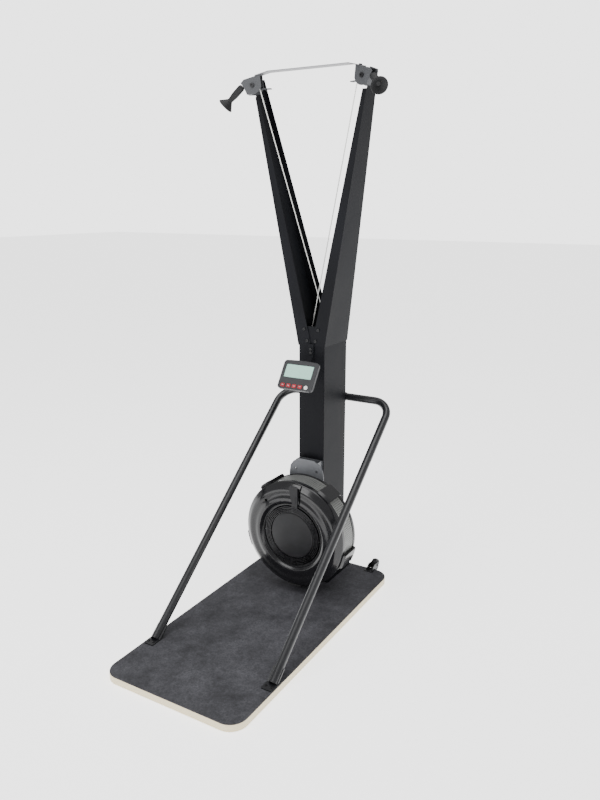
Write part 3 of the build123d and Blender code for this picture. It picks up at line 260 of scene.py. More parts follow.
def grip_rubber():
    return grained(
        "grip_rubber", (0.007, 0.007, 0.008), (0.013, 0.013, 0.014), 40.0, 1500.0, (0.50, 0.66),
        (0.35, 0.0004), shine=0.3)


def bright_steel():
    return grained(
        "bright_steel", (0.42, 0.42, 0.43), (0.56, 0.56, 0.57), 60.0, 1600.0, (0.22, 0.34), (0.08, 0.0002),
        metallic=1.0)


def black_steel():
    return grained(
        "black_steel", (0.012, 0.012, 0.013), (0.022, 0.022, 0.024), 70.0, 1600.0, (0.26, 0.36),
        (0.08, 0.0002), metallic=0.5)


def console_shell():
    return grained(
        "console_shell", (0.017, 0.0175, 0.020), (0.025, 0.0255, 0.029), 18.0, 1500.0, (0.40, 0.52),
        (0.20, 0.0003))


def key_rubber(looks):
    return grained(
        "key_rubber", tint(looks.button_red, 0.8), tint(looks.button_red, 1.2), 60.0, 1400.0, (0.38, 0.5),
        (0.15, 0.0002))


def pale_plastic():
    return grained(
        "pale_plastic", (0.66, 0.66, 0.64), (0.78, 0.78, 0.76), 50.0, 1400.0, (0.32, 0.44), (0.1, 0.0002))


def band_paint(looks):
    return grained(
        "band_paint", tint(looks.grille_grey, 0.88), tint(looks.grille_grey, 1.08), 20.0, 900.0, (0.36, 0.5),
        (0.1, 0.0003), metallic=0.25)


def mat_rubber(looks):
    """Mottled rubber: broad pale scuffs, a coarse speckle and a fine leathery grain."""
    material, nodes, links, shader, place = start_material("mat_rubber")
    clouds = noise(nodes, links, place, 7.5, 12.0, 0.80)
    speckle = noise(nodes, links, place, 150.0, 4.0, 0.75)
    mix = nodes.new("ShaderNodeMix")
    mix.data_type = "RGBA"
    mix.blend_type = "MULTIPLY"
    mix.inputs["Factor"].default_value = 0.9
    middle = tuple((a + b) / 2 for a, b in zip(looks.mat_dark, looks.mat_light))
    links.new(
        ramp(nodes, links, clouds, [(0.36, looks.mat_dark), (0.50, middle), (0.64, looks.mat_light)]),
        mix.inputs["A"])
    links.new(
        ramp(nodes, links, speckle, [(0.36, (0.42, 0.42, 0.42)), (0.64, (1.25, 1.25, 1.25))]), mix.inputs["B"])
    links.new(mix.outputs["Result"], shader.inputs["Base Color"])
    links.new(spread(nodes, links, speckle, 0.62, 0.85), shader.inputs["Roughness"])
    roughen(nodes, links, shader, speckle, 0.35, 0.0006)
    return material


def plywood_edge(looks):
    """Lacquered birch: thin plies stacked up the edge, with long grain in each."""
    material, nodes, links, shader, place = start_material("plywood_edge")
    bands = nodes.new("ShaderNodeTexWave")
    bands.bands_direction = "Z"
    bands.wave_profile = "SIN"
    bands.inputs["Scale"].default_value = 55.0
    bands.inputs["Distortion"].default_value = 0.6
    bands.inputs["Detail Scale"].default_value = 3.0
    links.new(place, bands.inputs["Vector"])
    grain = noise(nodes, links, stretched(nodes, links, place, (9, 9, 260)), 4.0, 6.0, 0.6)
    mix = nodes.new("ShaderNodeMix")
    mix.data_type = "RGBA"
    mix.blend_type = "MULTIPLY"
    mix.inputs["Factor"].default_value = 0.5
    links.new(
        ramp(nodes, links, bands.outputs["Fac"], [(0.1, tint(looks.plywood, 0.80)), (0.55, looks.plywood)]),
        mix.inputs["A"])
    links.new(ramp(nodes, links, grain, [(0.3, (0.82, 0.80, 0.76)), (0.7, (1.0, 1.0, 1.0))]), mix.inputs["B"])
    links.new(mix.outputs["Result"], shader.inputs["Base Color"])
    links.new(spread(nodes, links, grain, 0.42, 0.56), shader.inputs["Roughness"])
    roughen(nodes, links, shader, grain, 0.15, 0.0004)
    return material


def braid(name, low, high):
    """A round braid: two families of slanted strands that cross."""
    material, nodes, links, shader, place = start_material(name)
    strands = []
    for turn in (38, -38):
        mapping = nodes.new("ShaderNodeMapping")
        mapping.inputs["Rotation"].default_value = (radians(turn), radians(turn), 0)
        links.new(place, mapping.inputs["Vector"])
        wave = nodes.new("ShaderNodeTexWave")
        wave.bands_direction = "Z"
        wave.inputs["Scale"].default_value = 330.0
        links.new(mapping.outputs["Vector"], wave.inputs["Vector"])
        strands.append(wave.outputs["Fac"])
    cross = nodes.new("ShaderNodeMath")
    cross.operation = "MAXIMUM"
    links.new(strands[0], cross.inputs[0])
    links.new(strands[1], cross.inputs[1])
    links.new(
        ramp(nodes, links, cross.outputs["Value"], [(0.25, low), (0.8, high)]), shader.inputs["Base Color"])
    links.new(spread(nodes, links, cross.outputs["Value"], 0.7, 0.85), shader.inputs["Roughness"])
    roughen(nodes, links, shader, cross.outputs["Value"], 0.5, 0.0004)
    shader.inputs["Sheen Weight"].default_value = 0.2
    return material


def screen_glass(looks):
    """Pale liquid crystal glass with the faint ghost of its unlit cells."""
    material, nodes, links, shader, place = start_material("screen_glass")
    cells = nodes.new("ShaderNodeTexBrick")
    cells.inputs["Scale"].default_value = 60.0
    cells.inputs["Mortar Size"].default_value = 0.03
    cells.inputs["Color1"].default_value = (*looks.screen, 1)
    cells.inputs["Color2"].default_value = (*tint(looks.screen, 0.97), 1)
    cells.inputs["Mortar"].default_value = (*tint(looks.screen, 0.90), 1)
    turned = nodes.new("ShaderNodeMapping")
    turned.inputs["Rotation"].default_value = (radians(-56.7), 0, 0)
    links.new(place, turned.inputs["Vector"])
    links.new(turned.outputs["Vector"], cells.inputs["Vector"])
    links.new(cells.outputs["Color"], shader.inputs["Base Color"])
    haze = noise(nodes, links, place, 30.0)
    links.new(spread(nodes, links, haze, 0.18, 0.30), shader.inputs["Roughness"])
    shader.inputs["Coat Weight"].default_value = 0.4
    return material


def studio_floor():
    """Seamless paper, with a barely visible tooth."""
    material, nodes, links, shader, place = start_material("studio_floor")
    tooth = noise(nodes, links, place, 40.0)
    links.new(ramp(nodes, links, tooth, [(0.3, (0.90, 0.90, 0.90)), (0.7, (0.93, 0.93, 0.93))]),
              shader.inputs["Base Color"])
    shader.inputs["Roughness"].default_value = 0.9
    shader.inputs["Specular IOR Level"].default_value = 0.1
    shader.inputs["Emission Color"].default_value = (1, 1, 1, 1)
    shader.inputs["Emission Strength"].default_value = FLOOR_GLOW
    return material


# ---------------------------------------------------------------- helpers
def paint(names, material):
    for name in names:
        mesh = NODES[name].data
        mesh.materials.clear()
        mesh.materials.append(material)


def keep(name, mesh, body, smooth=True):
    """Turns finished mesh data into a piece that rides on a body."""
    piece = bpy.data.objects.new(name, mesh)
    bpy.context.scene.collection.objects.link(piece)
    if smooth:
        mesh.shade_smooth()
    if body:
        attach(piece, body)
    return piece


def new_tree(name, sockets):
    tree = bpy.data.node_groups.new(name, "GeometryNodeTree")
    tree.interface.new_socket("Geometry", in_out="INPUT", socket_type="NodeSocketGeometry")
    for label, kind in sockets:
        tree.interface.new_socket(label, in_out="INPUT", socket_type=kind)
    tree.interface.new_socket("Geometry", in_out="OUTPUT", socket_type="NodeSocketGeometry")
    entry = tree.nodes.new("NodeGroupInput")
    leave = tree.nodes.new("NodeGroupOutput")
    return tree, entry, leave


def bake(tree, mesh, values):
    """Runs a tree on a mesh with its inputs set by identifier, and gives the result as a plain mesh."""
    carrier = bpy.data.objects.new("carrier", mesh)
    bpy.context.scene.collection.objects.link(carrier)
    modifier = carrier.modifiers.new("shape", "NODES")
    modifier.node_group = tree
    for item in tree.interface.items_tree:
        if item.in_out == "INPUT" and item.name in values:
            modifier[item.identifier] = values[item.name]
    depsgraph = bpy.context.evaluated_depsgraph_get()
    result = bpy.data.meshes.new_from_object(carrier.evaluated_get(depsgraph))
    carrier.modifiers.remove(modifier)
    bpy.data.objects.remove(carrier)
    return result


def join_nodes(tree, *steps):
    """Links each (output, input) pair."""
    for source, target in steps:
        tree.links.new(source, target)


def sum_of(tree, operation, first, second):
    step = tree.nodes.new("ShaderNodeMath")
    step.operation = operation
    for value, socket in ((first, step.inputs[0]), (second, step.inputs[1])):
        if isinstance(value, (int, float)):
            socket.default_value = value
        else:
            tree.links.new(value, socket)
    return step.outputs[0]


def islands(node):
    """The separate solids of a CAD node, each as an array of its corner points."""
    work = bmesh.new()
    work.from_mesh(NODES[node].data)
    bmesh.ops.remove_doubles(work, verts=work.verts, dist=1e-6)
    left, groups = set(work.verts), []
    while left:
        reached = [left.pop()]
        group = []
        while reached:
            vert = reached.pop()
            group.append(np.array(vert.co))
            for edge in vert.link_edges:
                other = edge.other_vert(vert)
                if other in left:
                    left.remove(other)
                    reached.append(other)
        groups.append(np.array(group))
    work.free()
    return sorted(groups, key=lambda points: tuple(points.mean(0).round(4)))


def screw_seats(node):
    """Each screw's seat, the way its head faces, the head's radius and height, and the shaft's length."""
    seats = []
    for points in islands(node):
        centre = points.mean(0)
        axis = np.linalg.svd(points - centre)[2][0]
        along = (points - centre) @ axis
        across = np.linalg.norm(points - centre - np.outer(along, axis), axis=1)
        rim = across.max()
        head = along[across > 0.98 * rim]
        if head.mean() < 0:
            axis, along, head = -axis, -along, -head
        seat = centre + axis * head.min()
        seats.append((Vector(seat), Vector(axis), rim, along.max() - head.min(), head.min() - along.min()))
    return seats


# ---------------------------------------------------------------- Geometry Nodes trees
def perforated_tree():
    """A punched sheet rolled into a ring about Y: one holed cell, repeated over a grid, then wrapped."""
    tree, entry, leave = new_tree("perforated_ring", [
        ("Radius", "NodeSocketFloat"), ("Width", "NodeSocketFloat"), ("Rim", "NodeSocketFloat"),
        ("Hole radius", "NodeSocketFloat"), ("Columns", "NodeSocketInt"), ("Rows", "NodeSocketInt"),
        ("Centre", "NodeSocketVector"), ("Paint", "NodeSocketMaterial")])
    make = tree.nodes.new
    given = entry.outputs
    girth = sum_of(tree, "MULTIPLY", given["Radius"], 2 * pi)
    cell_wide = sum_of(tree, "DIVIDE", girth, given["Columns"])
    punched = sum_of(tree, "SUBTRACT", given["Width"], sum_of(tree, "MULTIPLY", given["Rim"], 2))
    cell_high = sum_of(tree, "DIVIDE", punched, given["Rows"])
    frame_curve = make("GeometryNodeCurvePrimitiveQuadrilateral")
    hole = make("GeometryNodeCurvePrimitiveCircle")
    hole.inputs["Resolution"].default_value = 10
    both = make("GeometryNodeJoinGeometry")
    cell = make("GeometryNodeFillCurve")
    grid = make("GeometryNodeMeshGrid")
    repeat = make("GeometryNodeInstanceOnPoints")
    whole = make("GeometryNodeRealizeInstances")
    join_nodes(
        tree, (cell_wide, frame_curve.inputs["Width"]), (cell_high, frame_curve.inputs["Height"]),
        (given["Hole radius"], hole.inputs["Radius"]),
        (frame_curve.outputs["Curve"], both.inputs["Geometry"]),
        (hole.outputs["Curve"], both.inputs["Geometry"]),
        (both.outputs["Geometry"], cell.inputs["Curve"]),
        (sum_of(tree, "SUBTRACT", girth, cell_wide), grid.inputs["Size X"]),
        (sum_of(tree, "SUBTRACT", punched, cell_high), grid.inputs["Size Y"]),
        (given["Columns"], grid.inputs["Vertices X"]), (given["Rows"], grid.inputs["Vertices Y"]),
        (grid.outputs["Mesh"], repeat.inputs["Points"]), (cell.outputs["Mesh"], repeat.inputs["Instance"]),
        (repeat.outputs["Instances"], whole.inputs["Geometry"]))
    sheet = make("GeometryNodeJoinGeometry")
    tree.links.new(whole.outputs["Geometry"], sheet.inputs["Geometry"])
    edge_middle = sum_of(tree, "MULTIPLY", sum_of(tree, "SUBTRACT", given["Width"], given["Rim"]), 0.5)
    for side in (-1, 1):
        strip = make("GeometryNodeMeshGrid")
        strip.inputs["Vertices Y"].default_value = 2
        shift = make("GeometryNodeTransform")
        where = make("ShaderNodeCombineXYZ")
        join_nodes(
            tree, (girth, strip.inputs["Size X"]), (given["Rim"], strip.inputs["Size Y"]),
            (sum_of(tree, "ADD", given["Columns"], 1), strip.inputs["Vertices X"]),
            (sum_of(tree, "MULTIPLY", edge_middle, side), where.inputs["Y"]),
            (where.outputs["Vector"], shift.inputs["Translation"]),
            (strip.outputs["Mesh"], shift.inputs["Geometry"]),
            (shift.outputs["Geometry"], sheet.inputs["Geometry"]))
    position = make("GeometryNodeInputPosition")
    parts = make("ShaderNodeSeparateXYZ")
    rolled = make("ShaderNodeCombineXYZ")
    wrap = make("GeometryNodeSetPosition")
    join_nodes(tree, (position.outputs["Position"], parts.inputs["Vector"]))
    angle = sum_of(tree, "DIVIDE", parts.outputs["X"], given["Radius"])
    for operation, target in (("SINE", "X"), ("COSINE", "Z")):
        turn = make("ShaderNodeMath")
        turn.operation = operation
        tree.links.new(angle, turn.inputs[0])
        tree.links.new(sum_of(tree, "MULTIPLY", turn.outputs[0], given["Radius"]), rolled.inputs[target])
    merge = make("GeometryNodeMergeByDistance")
    merge.inputs["Distance"].default_value = SEAM
    place = make("GeometryNodeTransform")
    finish = make("GeometryNodeSetMaterial")
    join_nodes(
        tree, (parts.outputs["Y"], rolled.inputs["Y"]), (rolled.outputs["Vector"], wrap.inputs["Position"]),
        (sheet.outputs["Geometry"], wrap.inputs["Geometry"]),
        (wrap.outputs["Geometry"], merge.inputs["Geometry"]),
        (merge.outputs["Geometry"], place.inputs["Geometry"]), (given["Centre"], place.inputs["Translation"]),
        (place.outputs["Geometry"], finish.inputs["Geometry"]), (given["Paint"], finish.inputs["Material"]),
        (finish.outputs["Geometry"], leave.inputs["Geometry"]))
    return tree


def screw_tree():
    """A rounded button head with a hex socket, on a shaft, set on every point and turned to face outward."""
    tree, entry, leave = new_tree("socket_screws", [
        ("Radius", "NodeSocketFloat"), ("Height", "NodeSocketFloat"), ("Socket", "NodeSocketFloat"),
        ("Shaft radius", "NodeSocketFloat"), ("Shaft length", "NodeSocketFloat"),
        ("Paint", "NodeSocketMaterial")])
    make = tree.nodes.new
    given = entry.outputs

    def standing(mesh, level):
        # the mesh moved along Z by level
        lift = make("ShaderNodeCombineXYZ")
        moved = make("GeometryNodeTransform")
        join_nodes(tree, (level, lift.inputs["Z"]), (mesh, moved.inputs["Geometry"]),
                   (lift.outputs["Vector"], moved.inputs["Translation"]))
        return moved.outputs["Geometry"]

    head = make("GeometryNodeMeshCylinder")
    head.inputs["Vertices"].default_value = 24
    head.inputs["Side Segments"].default_value = 5
    hex_key = make("GeometryNodeMeshCylinder")
    hex_key.inputs["Vertices"].default_value = 6
    shaft = make("GeometryNodeMeshCylinder")
    shaft.inputs["Vertices"].default_value = 12
    join_nodes(
        tree, (given["Radius"], head.inputs["Radius"]), (given["Height"], head.inputs["Depth"]),
        (given["Socket"], hex_key.inputs["Radius"]), (given["Height"], hex_key.inputs["Depth"]),
        (given["Shaft radius"], shaft.inputs["Radius"]), (given["Shaft length"], shaft.inputs["Depth"]))
    raised = standing(head.outputs["Mesh"], sum_of(tree, "MULTIPLY", given["Height"], 0.5))
    # the head narrows towards its top, as the cube of the height
    position = make("GeometryNodeInputPosition")
    parts = make("ShaderNodeSeparateXYZ")
    domed = make("ShaderNodeCombineXYZ")
    shape = make("GeometryNodeSetPosition")
    join_nodes(tree, (position.outputs["Position"], parts.inputs["Vector"]))
    share = sum_of(tree, "DIVIDE", parts.outputs["Z"], given["Height"])
    narrow = sum_of(tree, "SUBTRACT", 1.0, sum_of(tree, "MULTIPLY", sum_of(tree, "POWER", share, 3.0), 0.24))
    join_nodes(
        tree, (sum_of(tree, "MULTIPLY", parts.outputs["X"], narrow), domed.inputs["X"]),
        (sum_of(tree, "MULTIPLY", parts.outputs["Y"], narrow), domed.inputs["Y"]),
        (parts.outputs["Z"], domed.inputs["Z"]), (raised, shape.inputs["Geometry"]),
        (domed.outputs["Vector"], shape.inputs["Position"]))
    cut = make("GeometryNodeMeshBoolean")
    cut.operation = "DIFFERENCE"
    sunk = standing(hex_key.outputs["Mesh"], given["Height"])
    below = standing(shaft.outputs["Mesh"], sum_of(tree, "MULTIPLY", given["Shaft length"], -0.499))
    whole_screw = make("GeometryNodeJoinGeometry")
    join_nodes(
        tree, (shape.outputs["Geometry"], cut.inputs["Mesh 1"]), (sunk, cut.inputs["Mesh 2"]),
        (cut.outputs["Mesh"], whole_screw.inputs["Geometry"]), (below, whole_screw.inputs["Geometry"]))
    facing = make("GeometryNodeInputNamedAttribute")
    facing.data_type = "FLOAT_VECTOR"
    facing.inputs["Name"].default_value = "facing"
    turn = make("FunctionNodeAlignEulerToVector")
    turn.axis = "Z"
    repeat = make("GeometryNodeInstanceOnPoints")
    whole = make("GeometryNodeRealizeInstances")
    finish = make("GeometryNodeSetMaterial")
    join_nodes(
        tree, (facing.outputs["Attribute"], turn.inputs["Vector"]),
        (given["Geometry"], repeat.inputs["Points"]),
        (whole_screw.outputs["Geometry"], repeat.inputs["Instance"]),
        (turn.outputs["Rotation"], repeat.inputs["Rotation"]),
        (repeat.outputs["Instances"], whole.inputs["Geometry"]),
        (whole.outputs["Geometry"], finish.inputs["Geometry"]), (given["Paint"], finish.inputs["Material"]),
        (finish.outputs["Geometry"], leave.inputs["Geometry"]))
    return tree


# ---------------------------------------------------------------- operators
class TRAINER_OT_finishes(bpy.types.Operator):
    """Gives every carried-over part its own finish"""
    bl_idname = "trainer.finishes"
    bl_label = "Finishes"

    def execute(self, context):
        looks = context.scene.trainer_finishes
        dark = powder_coat(looks)
        paint(["column", "arm_left", "arm_right", "console_arm", "guide_bracket", "bungee_anchor"], dark)
        paint(["support_hoop", "hoop_clamp", "foot_brackets", "wheel_brackets"], tube_coat(looks))
        paint(["head_cover_left", "head_cover_right", "head_shell_left", "head_shell_right"],
              head_satin(looks))
        paint(["fan_brackets"], bracket_coat(looks))
        paint(["crossbar"], bar_satin(looks))
        paint(["front_cover", "housing_clips", "rear_cover"], housing_gloss(looks))
        paint(["hub_cap", "damper_lever", "fan_wheel", "front_drum", "rear_drum", "pulley_left",
               "pulley_right", "guide_pulley_left", "guide_pulley_right"], moulded_black())
        paint(["fan_grille"], grille_paint())
        paint(["handle_left", "handle_right", "cord_stop_left", "cord_stop_right", "transport_wheel_left",
               "transport_wheel_right"], grip_rubber())
        paint(["fan_shaft", "ball_bearings", "console_pin", "wheel_axles"], bright_steel())
        paint(["pulley_bolts", "base_bolts", "foot_screws", "frame_bolts", "head_screws"], black_steel())
        paint(["drive_cord_left", "drive_cord_right", "cord_stub_left", "cord_stub_right"],
              braid("cord_braid", (0.55, 0.55, 0.53), (0.86, 0.86, 0.83)))
        paint(["return_bungees"], braid("bungee_braid", (0.010, 0.010, 0.012), (0.045, 0.045, 0.05)))
        paint(["console_front", "console_back"], console_shell())
        paint(["console_lens"], screen_glass(looks))
        paint(BUTTONS, key_rubber(looks))
        paint(["power_button"], pale_plastic())
        paint(["perforated_band"], band_paint(looks))
        paint(["rubber_mat"], mat_rubber(looks))
        paint(["plywood_platform"], plywood_edge(looks))
        return {"FINISHED"}


class TRAINER_OT_fan_band(bpy.types.Operator):
    """Makes the punched sheet that runs round the fan housing"""
    bl_idname = "trainer.fan_band"
    bl_label = "Perforated fan band"

    def execute(self, context):
        sizes = context.scene.trainer_sizes
        low, high = (Vector(corner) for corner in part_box("perforated_band"))
        centre = (low + high) / 2
        sheet = bake(perforated_tree(), bpy.data.meshes.new("fan_band_seed"), {
            "Radius": (high.x - low.x) / 2 - BAND_INSET, "Width": high.y - low.y, "Rim": sizes.band_rim,
            "Hole radius": sizes.hole_radius, "Columns": sizes.hole_columns, "Rows": sizes.hole_rows,
            "Centre": centre, "Paint": NODES["perforated_band"].data.materials[0]})
        work = bmesh.new()
        work.from_mesh(sheet)
        bmesh.ops.remove_doubles(work, verts=work.verts, dist=SEAM)
        outward = sum(face.normal.dot(face.calc_center_median() - centre) for face in work.faces)
        if outward < 0:
            bmesh.ops.reverse_faces(work, faces=work.faces)
        work.to_mesh(sheet)
        work.free()
        band = keep("fan_band", sheet, "frame", smooth=False)
        wall = band.modifiers.new("wall", "SOLIDIFY")
        wall.thickness = BAND_WALL
        wall.offset = -1
        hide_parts("perforated_band")
        return {"FINISHED"}


class TRAINER_OT_screws(bpy.types.Operator):
    """Makes every button-head screw with its hex socket"""
    bl_idname = "trainer.screws"
    bl_label = "Socket screws"

    def execute(self, context):
        sizes = context.scene.trainer_sizes
        tree = screw_tree()
        for node in ("base_bolts", "foot_screws", "frame_bolts", "head_screws"):
            seats = screw_seats(node)
            spots = bpy.data.meshes.new("seat_points")
            spots.from_pydata([seat[0] for seat in seats], [], [])
            facing = spots.attributes.new("facing", "FLOAT_VECTOR", "POINT")
            facing.data.foreach_set("vector", [value for seat in seats for value in seat[1]])
            radius, height = seats[0][2], seats[0][3]
            shaft_long = min(seat[4] for seat in seats)
            heads = bake(tree, spots, {
                "Radius": radius, "Height": height, "Socket": radius * sizes.socket_share,
                "Shaft radius": radius * SHAFT_SHARE, "Shaft length": shaft_long * SHAFT_FIT,
                "Paint": NODES[node].data.materials[0]})
            screws = keep("socket_" + node, heads, "frame", smooth=False)
            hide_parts(node)
        return {"FINISHED"}


class TRAINER_OT_cord_ends(bpy.types.Operator):
    """Makes the short cord inside each handle"""
    bl_idname = "trainer.cord_ends"
    bl_label = "Cord ends"

    def execute(self, context):
        for side in ("left", "right"):
            node = "cord_stub_" + side
            pivot, direction = pull_line(side)
            stop = cord_far_end(node, pivot, direction)
            mesh = ringed_rod(node, pivot, direction, stop, cord_radius(node, pivot, direction))
            mesh.materials.append(NODES[node].data.materials[0])
            stub = bpy.data.objects.new("cord_end_" + side, mesh)
            context.scene.collection.objects.link(stub)
            mesh.shade_smooth()
            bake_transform(stub)
            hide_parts(node)
        return {"FINISHED"}


class TRAINER_OT_console_trim(bpy.types.Operator):
    """Makes the raised rim round the screen and the marks on the keys"""
    bl_idname = "trainer.console_trim"
    bl_label = "Console trim"

    def execute(self, context):
        axes = console_axes()
        centre, half_wide, half_high, face = lens_frame(axes)
        shell = NODES["console_front"].data.materials[0]
        rim = rounded_ring(
            half_wide + RIM_WIDE, half_high + RIM_WIDE, half_wide, half_high, RIM_CORNER,
            face, face - RIM_DEEP)
        mesh = lay_on_face("screen_rim", rim, centre, axes)
        mesh.materials.append(shell)
        keep("screen_rim", mesh, "console", smooth=False)
        for name in BUTTONS:
            mark = key_mark(name, axes, context.scene.trainer_sizes.mark_height)
            mark.materials.append(NODES["power_button"].data.materials[0])
            keep("mark_" + name, mark, name + "_cap", smooth=False)
        return {"FINISHED"}


class TRAINER_OT_stage(bpy.types.Operator):
    """Lays the pale floor and sets the lights and the camera"""
    bl_idname = "trainer.stage"
    bl_label = "Stage"

    def execute(self, context):
        scene = context.scene
        floor = bpy.data.meshes.new("studio_floor")
        reach = FLOOR_REACH
        floor.from_pydata(
            [(-reach, -reach, 0), (reach, -reach, 0), (reach, reach, 0), (-reach, reach, 0)],
            [], [(0, 1, 2, 3)])
        floor.materials.append(studio_floor())
        ground = bpy.data.objects.new("studio_floor", floor)
        scene.collection.objects.link(ground)
        for name, place, aim, size, power in LAMPS:
            light = bpy.data.lights.new(name, "AREA")
            light.shape = "RECTANGLE"
            light.size, light.size_y = size
            light.energy = power
            lamp = bpy.data.objects.new(name, light)
            lamp.location = place
            lamp.rotation_euler = (Vector(aim) - Vector(place)).to_track_quat("-Z", "Y").to_euler()
            scene.collection.objects.link(lamp)
        world = bpy.data.worlds.new("studio_air")
        world.use_nodes = True
        air = world.node_tree.nodes
        air["Background"].inputs["Color"].default_value = (1, 1, 1, 1)
        air["Background"].inputs["Strength"].default_value = AIR
        seen = air.new("ShaderNodeBackground")
        seen.inputs["Color"].default_value = (1, 1, 1, 1)
        seen.inputs["Strength"].default_value = BACKDROP
        choice = air.new("ShaderNodeMixShader")
        join_nodes(
            world.node_tree, (air.new("ShaderNodeLightPath").outputs["Is Camera Ray"], choice.inputs["Fac"]),
            (air["Background"].outputs["Background"], choice.inputs[1]),
            (seen.outputs["Background"], choice.inputs[2]),
            (choice.outputs["Shader"], air["World Output"].inputs["Surface"]))
        scene.world = world
        lens = bpy.data.cameras.new("viewpoint")
        lens.lens = CAMERA_LENS
        lens.sensor_width = 36
        lens.clip_end = 200
        camera = bpy.data.objects.new("viewpoint", lens)
        camera.location = CAMERA_PLACE
        camera.rotation_euler = (radians(90 - CAMERA_PITCH), 0, radians(CAMERA_TURN))
        scene.collection.objects.link(camera)
        scene.camera = camera
        return {"FINISHED"}


# ---------------------------------------------------------------- cord ends
def pull_line(side):
    """Where a handle hangs from, and the way it is pulled, from its sliding joint."""
    joint = JOINTS[f"handle_{side}_pull"]
    swing = JOINTS[f"handle_{side}_swing"]
    return Vector(swing["pos_m"]), Vector(joint["axis"]).normalized()


def corner_points(node):
    mesh = NODES[node].data
    points = np.empty(len(mesh.vertices) * 3)
    mesh.vertices.foreach_get("co", points)
    return points.reshape(-1, 3)


def cord_far_end(node, pivot, direction):
    return float(((corner_points(node) - np.array(pivot)) @ np.array(direction)).max())


def cord_radius(node, pivot, direction):
    points = corner_points(node) - np.array(pivot)
    along = points @ np.array(direction)
    return float(np.linalg.norm(points - np.outer(along, np.array(direction)), axis=1).max())


def ringed_rod(name, start, direction, length, radius, rings=120, sides=12):
    """A closed rod with many rings along its length."""
    across = direction.orthogonal().normalized()
    beside = direction.cross(across)
    points = []
    for ring in range(rings + 1):
        middle = start + direction * (length * ring / rings)
        for step in range(sides):
            angle = 2 * pi * step / sides
            points.append(middle + (across * cos(angle) + beside * sin(angle)) * radius)
    faces = [
        (ring * sides + step, ring * sides + (step + 1) % sides,
         (ring + 1) * sides + (step + 1) % sides, (ring + 1) * sides + step)
        for ring in range(rings) for step in range(sides)]
    faces.append(tuple(reversed(range(sides))))
    faces.append(tuple(rings * sides + step for step in range(sides)))
    mesh = bpy.data.meshes.new(name)
    mesh.from_pydata(points, [], faces)
    return mesh


# ---------------------------------------------------------------- console trim
def console_axes():
    """Right, up and outward on the console's tilted face."""
    lens = NODES["console_lens"].data
    areas = {}
    for face in lens.polygons:
        key = tuple(round(value, 3) for value in face.normal)
        areas[key] = areas.get(key, 0) + face.area
    outward = Vector(max((key for key in areas if key[1] < 0 and key[2] > 0.2), key=areas.get)).normalized()
    right = Vector((1, 0, 0))
    return right, outward.cross(right).normalized(), outward


def on_face(node, axes):
    """A node's low and high corner along right, up and outward."""
    points = corner_points(node) @ np.array([list(axis) for axis in axes]).T
    return points.min(0), points.max(0)


def lens_frame(axes):
    points = corner_points("console_lens") @ np.array([list(axis) for axis in axes]).T
    front = points[points[:, 2] > points[:, 2].max() - 0.0003]
    low, high = front.min(0), front.max(0)
    middle = (low + high) / 2
    shell_face = on_face("console_front", axes)[1][2]
    return middle, (high[0] - low[0]) / 2, (high[1] - low[1]) / 2, shell_face


def rounded_loop(half_wide, half_high, corner, steps=6):
    loop = []
    for x_side, y_side, first in ((1, 1, 0), (-1, 1, 90), (-1, -1, 180), (1, -1, 270)):
        for step in range(steps + 1):
            angle = radians(first + 90 * step / steps)
            loop.append((x_side * (half_wide - corner) + corner * cos(angle),
                         y_side * (half_high - corner) + corner * sin(angle)))
    return loop


def rounded_ring(out_wide, out_high, in_wide, in_high, corner, top, base):
    """A flat ring with four edges, as loops of (right, up, outward)."""
    outer = rounded_loop(out_wide, out_high, corner + out_wide - in_wide)
    inner = rounded_loop(in_wide - 0.0004, in_high - 0.0004, corner)
    return [[(x, y, level) for x, y in loop]
            for loop, level in ((outer, base), (outer, top), (inner, top), (inner, base))]


def lay_on_face(name, loops, centre, axes):
    points, faces, size = [], [], len(loops[0])
    for loop in loops:
        for x, y, level in loop:
            points.append(axes[0] * (x + centre[0]) + axes[1] * (y + centre[1]) + axes[2] * level)
    for band in range(len(loops)):
        after = (band + 1) % len(loops)
        for step in range(size):
            other = (step + 1) % size
            faces.append((band * size + step, band * size + other, after * size + other, after * size + step))
    mesh = bpy.data.meshes.new(name)
    mesh.from_pydata(points, [], faces)
    face_out(mesh)
    return mesh


def face_out(mesh):
    work = bmesh.new()
    work.from_mesh(mesh)
    bmesh.ops.recalc_face_normals(work, faces=work.faces)
    work.to_mesh(mesh)
    work.free()


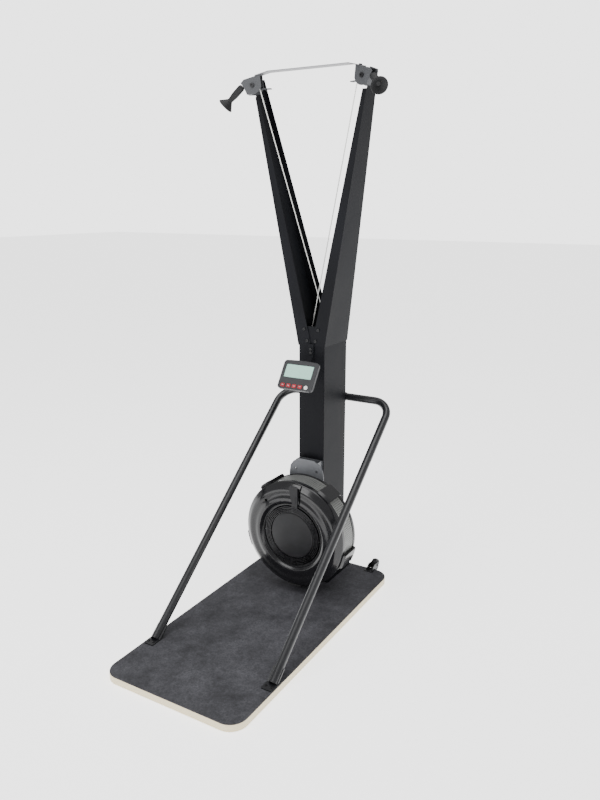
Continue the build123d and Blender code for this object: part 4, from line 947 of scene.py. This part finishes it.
def key_mark(name, axes, height):
    """A thin raised bar across a key's top."""
    low, high = on_face(name, axes)
    middle = (low + high) / 2
    half_wide, half_high = MARK_HALF
    top = high[2] + height
    loop = rounded_loop(half_wide, half_high, half_high * 0.9, 3)
    loops = [[(x, y, level) for x, y in loop] for level in (high[2] - MARK_SUNK, top)]
    points, size = [], len(loop)
    for ring in loops:
        points += [
            axes[0] * (x + middle[0]) + axes[1] * (y + middle[1]) + axes[2] * level for x, y, level in ring]
    faces = [(step, (step + 1) % size, size + (step + 1) % size, size + step) for step in range(size)]
    faces += [tuple(range(size)), tuple(range(size, 2 * size))]
    mesh = bpy.data.meshes.new("mark_" + name)
    mesh.from_pydata(points, [], faces)
    face_out(mesh)
    return mesh


# ---------------------------------------------------------------- add-on
OPERATORS = (
    TRAINER_OT_finishes, TRAINER_OT_fan_band, TRAINER_OT_screws, TRAINER_OT_cord_ends,
    TRAINER_OT_console_trim, TRAINER_OT_stage)


class TRAINER_PT_panel(bpy.types.Panel):
    bl_label = "Ski trainer"
    bl_idname = "TRAINER_PT_panel"
    bl_space_type = "VIEW_3D"
    bl_region_type = "UI"
    bl_category = "Ski trainer"

    def draw(self, context):
        for settings in (context.scene.trainer_finishes, context.scene.trainer_sizes):
            box = self.layout.box()
            for name in settings.__annotations__:
                box.prop(settings, name)
        for operator in OPERATORS:
            self.layout.operator(operator.bl_idname)


CLASSES = (TrainerFinishes, TrainerSizes, *OPERATORS, TRAINER_PT_panel)


def register():
    for item in CLASSES:
        bpy.utils.register_class(item)
    bpy.types.Scene.trainer_finishes = PointerProperty(type=TrainerFinishes)
    bpy.types.Scene.trainer_sizes = PointerProperty(type=TrainerSizes)


def unregister():
    del bpy.types.Scene.trainer_sizes
    del bpy.types.Scene.trainer_finishes
    for item in reversed(CLASSES):
        bpy.utils.unregister_class(item)


def main():
    register()
    for operator in OPERATORS:
        group, name = operator.bl_idname.split(".")
        getattr(getattr(bpy.ops, group), name)()


if __name__ == "__main__":
    main()
